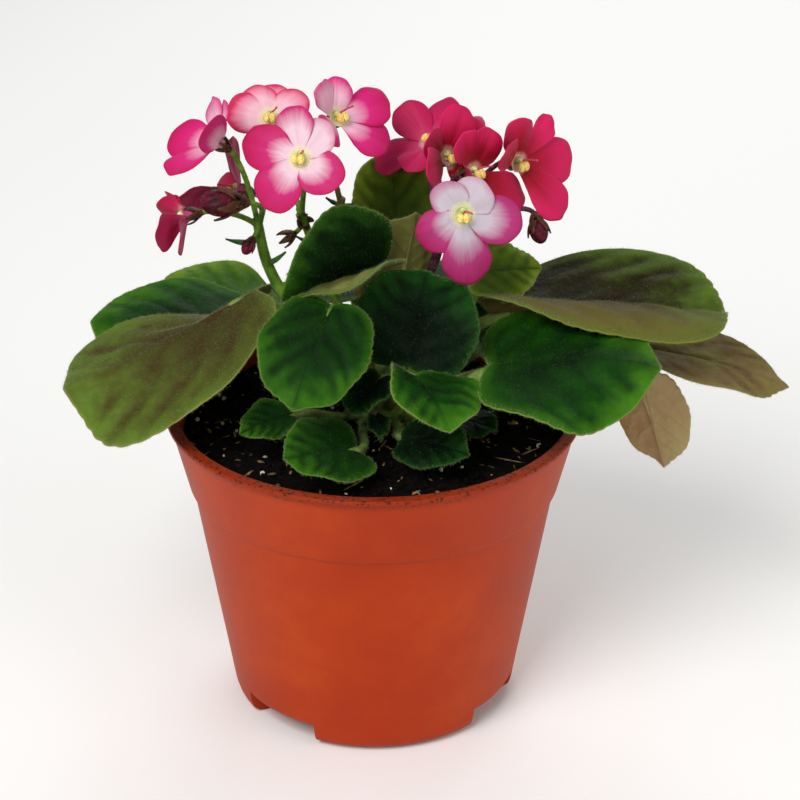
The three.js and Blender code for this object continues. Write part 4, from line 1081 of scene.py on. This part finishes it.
for name, row in stalks.items():
    stalk_skin, slot = stalk_looks[row["look"]]
    path = stem_curve(row["path"], STEM_STEPS)
    tubes = [tube(path, row["radius"] * np.linspace(1.2, 0.88, STEM_STEPS), sides=12)]
    # Branches part from the stalk near its top, one below the other, and end inside their calyces.
    carried = [blooms.get(held) or buds[held] for held in row["carries"]] + row.get("spent", [])
    for i, held in enumerate(carried):
        end, behind = set_out(np.array([[0, 0, -TUBE_BACK - 1.6], [0, 0, -TUBE_BACK - 8]]), held)
        start = path[int((STEM_STEPS - 1) * (0.96 - 0.015 * i))]
        branch = bezier(start, path[-1], behind, end, BRANCH_STEPS)
        tubes.append(tube(branch, np.linspace(0.85, 0.7, BRANCH_STEPS), sides=9))
    bracts = []
    for place, turn, width, length in row["bracts"]:
        points, quads = sheet(width, length, rows=12, columns=7, shape=bract_shape, thickness=0.5)
        bracts.append((set_out(around(points, turn), dict(at=place, facing=(0, 72))), quads))
    joined = [join(group) for group in (tubes, [calyx(held) for held in carried], bracts)]
    points, faces = join([(group_points, *group_faces) for group_points, group_faces in joined])
    which = np.repeat([0, 1, 2], [len(group_faces) for _, group_faces in joined])
    spray = make_piece(name + "_spray", points, faces, [stalk_skin, sepal_brown, bract_green], which)
    settle(spray, slot, name)
    skin = np.concatenate([split(part) for part in faces if part.shape[1] == 4])
    hair_piece(name, slot, [white_hair], [(0, points, skin, 1.0, 0.9, 0, 0.028)])


def latitudes(count):
    """Angles from one pole to the other, just short of both."""
    return np.linspace(0.02, math.pi - 0.02, count)[:, None]


def bud_body(row):
    """An egg with five soft folds that twist towards its tip."""
    height = latitudes(30)
    turn = turns(60)
    fold = 1 - 0.16 * np.abs(np.cos(2.5 * turn + 1.1 * height)) ** 6 * np.sin(height)
    radius = BUD_RADIUS * np.sin(height) ** 0.9 * fold * (1 + 0.12 * np.cos(height))
    points, quads, caps = capped(turned(radius, turn, BUD_MIDDLE - BUD_HALF_LENGTH * np.cos(height)))
    return set_out(points, row), quads, caps


bud_skin = stalk_flesh("bud_maroon", 0x2A0410, 0x64102A)
for name, row in buds.items():
    egg = bud_body(row)
    measures = dict(width=3.0, length=1.5, rows=12, columns=7, shape=clasping_shape, thickness=0.4)
    points, faces = join([egg, *sepals(row, back=0, first_turn=20, **measures)])
    which = [0, 0] + [1] * SEPAL_COUNT
    settle(make_piece(name + "_closed", points, faces, [bud_skin, sepal_brown], which), "bud_maroon", name)
    hair_piece(name, "bud_maroon", [white_hair], [(0, egg[0], split(egg[1]), 1.0, 0.8, 0, 0.025)])


# ---- Blooms ---------------------------------------------------------------------------------------
# Each corolla is one thin body: two smaller upper lobes and three larger lower ones that overlap
# round a short tube. The petals are pale at the throat and deepen towards their rippled edges.

PETAL_ROOT = 2.2  # how far from the bloom's axis a petal starts, and where it bends up
PETAL_SPREAD_LIMIT = math.radians(60)
PETAL_THICKNESS = 0.35
PETAL_ROWS, PETAL_COLUMNS = 22, 25
THROAT_SIDES = 28

# Colours of a petal: at the throat, pale part, middle and edge, then where pale turns to deep, and the
# slot that the finish belongs to.
petal_looks = {
    "magenta": (0xE2DCA8, 0xE4B0C4, 0xCE2476, 0xBC1054, 0.15, "petal_magenta"),
    "rose": (0xE2DCA8, 0xDCBCC8, 0xBC266A, 0xB0124A, 0.16, "petal_pink"),
    "blush": (0xE2DCB0, 0xE8B8C4, 0xDC7894, 0xC82454, 0.46, "petal_pink"),
    "cherry": (0xDCB8A8, 0xC0587C, 0xB41848, 0x9E1038, 0.04, "petal_crimson"),
    "raspberry": (0xDCB0A0, 0xC44070, 0xBC2058, 0xAC164A, 0.04, "petal_magenta"),
    "crimson": (0xE0AEA0, 0x900C1C, 0xA00E28, 0xC81C54, 0.06, "petal_crimson"),
    "lilac": (0xD4D89A, 0xBCAEB8, 0xA83470, 0x9A144C, 0.24, "petal_lilac"),
}


def petal_sheet(petal, paler, seed):
    """A fan to a round end, hinged up at its root, with one side over its neighbour and a rippled rim."""
    turn, rise, reach, half = petal
    middle = reach - half
    spread = min(PETAL_SPREAD_LIMIT, math.asin(min(1, half / middle)))
    across = np.linspace(-1, 1, PETAL_COLUMNS)[None, :]
    angle = spread * across
    edge = middle * np.cos(angle) + np.sqrt(np.maximum(half**2 - (middle * np.sin(angle)) ** 2, 0))
    rim = 1 + 0.014 * np.sin(5 * across + seed) + 0.007 * np.sin(13 * across + 2 * seed)
    share = np.linspace(0, 1, PETAL_ROWS)[:, None]
    out = PETAL_ROOT + (edge * rim - PETAL_ROOT) * share
    height = 0.5 * np.sin(6 * angle) * share - 0.016 * out**2
    height += 0.3 * np.sin(7 * across + seed) * share**3
    height += 0.6 * np.sin(across * math.pi / 2) * share**0.7
    height -= 0.3 * np.exp(-((angle / 0.09) ** 2)) * np.sin(share * math.pi)
    along = out * np.cos(angle) - PETAL_ROOT
    cos, sin = math.cos(math.radians(rise)), math.sin(math.radians(rise))
    points = stack(out * np.sin(angle), PETAL_ROOT + along * cos - height * sin, along * sin + height * cos)
    both, faces = two_faced(points, PETAL_THICKNESS * (1 - 0.5 * share**6)[..., None])
    tint = stack(share - paler * share**0.4, across, seed).reshape(-1, 3)
    front, back = (stack(face, out - PETAL_ROOT, 0).reshape(-1, 3) for face in (1, 0))
    return around(both, turn), faces, np.tile(tint, (2, 1)), np.concatenate([front, back])


def petal_skin(look):
    """Living petal: papillose cells sparkle, fine streaks run out from the throat, backs are duller."""
    throat, pale, middle, edge, turning, _ = petal_looks[look]
    made, tree, spot = new_material("petal_" + look)
    place, side = (
        node(tree, "Attribute", attribute_name=key).outputs["Vector"] for key in ("petal", "side")
    )
    out = node(tree, "SeparateXYZ", {0: place}).outputs["X"]
    front, depth, _ = node(tree, "SeparateXYZ", {0: side}).outputs
    stretched = node(tree, "Mapping", {"Vector": place, "Scale": (0.7, 7, 1)})
    streaks = node(tree, "TexNoise", {"Vector": stretched, "Scale": 1.5, "Detail": 3, "Roughness": 0.5})
    blotches = node(tree, "TexNoise", {"Vector": spot, "Scale": 170, "Detail": 2})
    streaked = node(tree, "Math", {0: streaks, 1: 0.15, 2: out}, operation="MULTIPLY_ADD")
    blotched = node(tree, "Math", {0: blotches, 1: 0.2, 2: streaked}, operation="MULTIPLY_ADD")
    reached = node(tree, "Math", {0: blotched, 1: 0.175}, operation="SUBTRACT")
    stops = [(0.0, pale), (turning, pale), (turning + 0.36, middle), (0.98, edge)]
    tone = node(tree, "ValToRGB", {"Fac": reached}, stops=stops)
    near = node(tree, "MapRange", {"Value": depth, "From Min": 1.7, "From Max": 0.2, "To Max": 0.85})
    throated = node(tree, "Mix", {0: near, 6: tone, 7: throat}, data_type="RGBA")
    backs = node(tree, "Mix", {0: 0.35, 6: tone, 7: 0xB02C60}, data_type="RGBA")
    both = node(tree, "Mix", {0: front, 6: backs, 7: throated}, data_type="RGBA")
    cells = node(tree, "TexNoise", {"Vector": spot, "Scale": 2600, "Detail": 2})
    fine = node(tree, "Bump", {"Height": cells, "Strength": 0.25, "Distance": 0.0002})
    folds = node(tree, "Bump", {"Height": streaks, "Strength": 0.25, "Distance": 0.0005, "Normal": fine})
    gloss = {"Roughness": 0.5, "Specular IOR Level": 0.12, "Sheen Weight": 0.05, "Sheen Roughness": 0.4}
    return finish(made, {"Base Color": both, "Normal": folds, **gloss})


def ellipsoid(centre, radii, groove=0.0):
    """A ball stretched to three radii, with a dip along its front where the pollen shows."""
    height = latitudes(14)
    turn = turns(20)
    dip = 1 - groove * np.exp(-(((turn - math.pi / 2) / 0.35) ** 2)) * np.sin(height)
    x, z, y = turned(np.sin(height) * dip, turn, np.cos(height)).T
    return capped(stack(x.T, y.T, z.T) * radii + centre)


def throat_body():
    """A profile turned about the facing direction: up the tube's outside, then down the dish in it."""
    tube_side = [[0.7, -2.75], [1.3, -2.6], [1.45, -1.9], [1.65, -1.0], [2.1, -0.2], [2.55, 0.2]]
    dish = [[2.45, 0.32], [2.0, 0.05], [1.3, -0.35], [0.6, -0.55]]
    radius, height = np.array(tube_side + dish).T[..., None]
    front = np.repeat([0, 1], [len(tube_side) * THROAT_SIDES, len(dish) * THROAT_SIDES])
    return *capped(turned(radius, turns(THROAT_SIDES), height)), stack(np.append(front, [0, 1]), 0, 0)


petal_finishes = {look: petal_skin(look) for look in petal_looks}
pollen_yellow = speckled("pollen_yellow", 0xD9A92E, 0xF6E58A, 0.5, 0.6)
ovary_green = speckled("ovary_green", 0x9AAE52, 0xDDE3A0, 0.8, 0.5)
style_red = speckled("style_red", 0xA02038, 0xC8506A, 0.8, 0.4)

for number, (name, row) in enumerate(blooms.items()):
    look = row["look"]
    parts, tints, sides = [], [], []
    for i, (petal, paler) in enumerate(zip(row["petals"], row["pale"])):
        points, faces, tint, side = petal_sheet(petal, paler, 2.4 * number + 1.3 * i)
        parts.append((set_out(points, row), faces))
        tints.append(tint)
        sides.append(side)
    throat_points, *throat_faces, side = throat_body()
    parts.append((set_out(throat_points, row), *throat_faces))
    tints.append(np.tile([0.02, 0, 0], (len(throat_points), 1)))
    sides.append(side)
    attributes = {"petal": np.concatenate(tints), "side": np.concatenate(sides)}
    corolla = make_piece(name + "_corolla", *join(parts), [petal_finishes[look]], None, attributes)
    settle(corolla, petal_looks[look][5], name)

    anthers = [ellipsoid([0.85 * s, -0.7, 2.5], [1.0, 1.45, 1.05], groove=0.25) for s in (-1, 1)]
    ovary = ellipsoid([0, 1.0, 0.6], [0.95, 0.95, 1.3])
    rise = np.linspace(0, 1, 8)[:, None]
    filaments = [
        tube(rise * [0.4 * s, -0.4, 2.8] + [0.4 * s, -0.1, -0.6], np.full(8, 0.3), sides=8) for s in (-1, 1)
    ]
    t = np.linspace(0, 1, 12)[:, None]
    style_path = np.array([0.2, 0.9, 1.4]) + t * [1.9, 0.1, 4.6] + np.sin(t * math.pi) * [0.25, 0.1, 0]
    style = tube(style_path, np.append(np.linspace(0.32, 0.22, 10), [0.34, 0.3]))
    points, faces = join([*anthers, ovary, *filaments, style])
    which = [0] * 4 + [1] * 6 + [2] * 2
    heart_finishes = [pollen_yellow, ovary_green, style_red]
    heart = make_piece(name + "_heart", set_out(points, row), faces, heart_finishes, which)
    settle(heart, "anther_yellow", name + "_anthers")


# ---- Table top and light --------------------------------------------------------------------------
# A pale seamless table under a big soft light from above the camera's left, with a weaker one on the
# right and an even glow from all round, as in a small product studio.

bpy.ops.mesh.primitive_plane_add(size=6)
table_top = bpy.context.object
table_top.name = "table_top"
paper, *_ = new_material("seamless_paper")
table_top.data.materials.append(finish(paper, {"Base Color": 0xF4F4F2, "Roughness": 0.9}))


def soft_light(name, place, aimed, size, power):
    """A square area light in metres that faces the plant."""
    data = bpy.data.lights.new(name, "AREA")
    data.size = size
    data.energy = power
    light = bpy.data.objects.new(name, data)
    light.location = place
    light.rotation_euler = (Vector(aimed) - Vector(place)).to_track_quat("-Z", "Y").to_euler()
    bpy.context.collection.objects.link(light)


soft_light("key_light", (-0.5, -0.85, 1.05), aimed=(0, 0, 0.1), size=0.7, power=14.5)
soft_light("fill_light", (0.9, -0.7, 0.6), aimed=(0, 0, 0.1), size=0.9, power=4)
soft_light("rim_light", (0.2, 0.9, 0.8), aimed=(0, 0, 0.12), size=0.8, power=5)
world = bpy.data.worlds.new("studio_glow")
world.use_nodes = True
world.node_tree.nodes["Background"].inputs["Color"].default_value = (1, 1, 1, 1)
world.node_tree.nodes["Background"].inputs["Strength"].default_value = 0.36
bpy.context.scene.world = world
bpy.context.scene.view_settings.view_transform = "Standard"
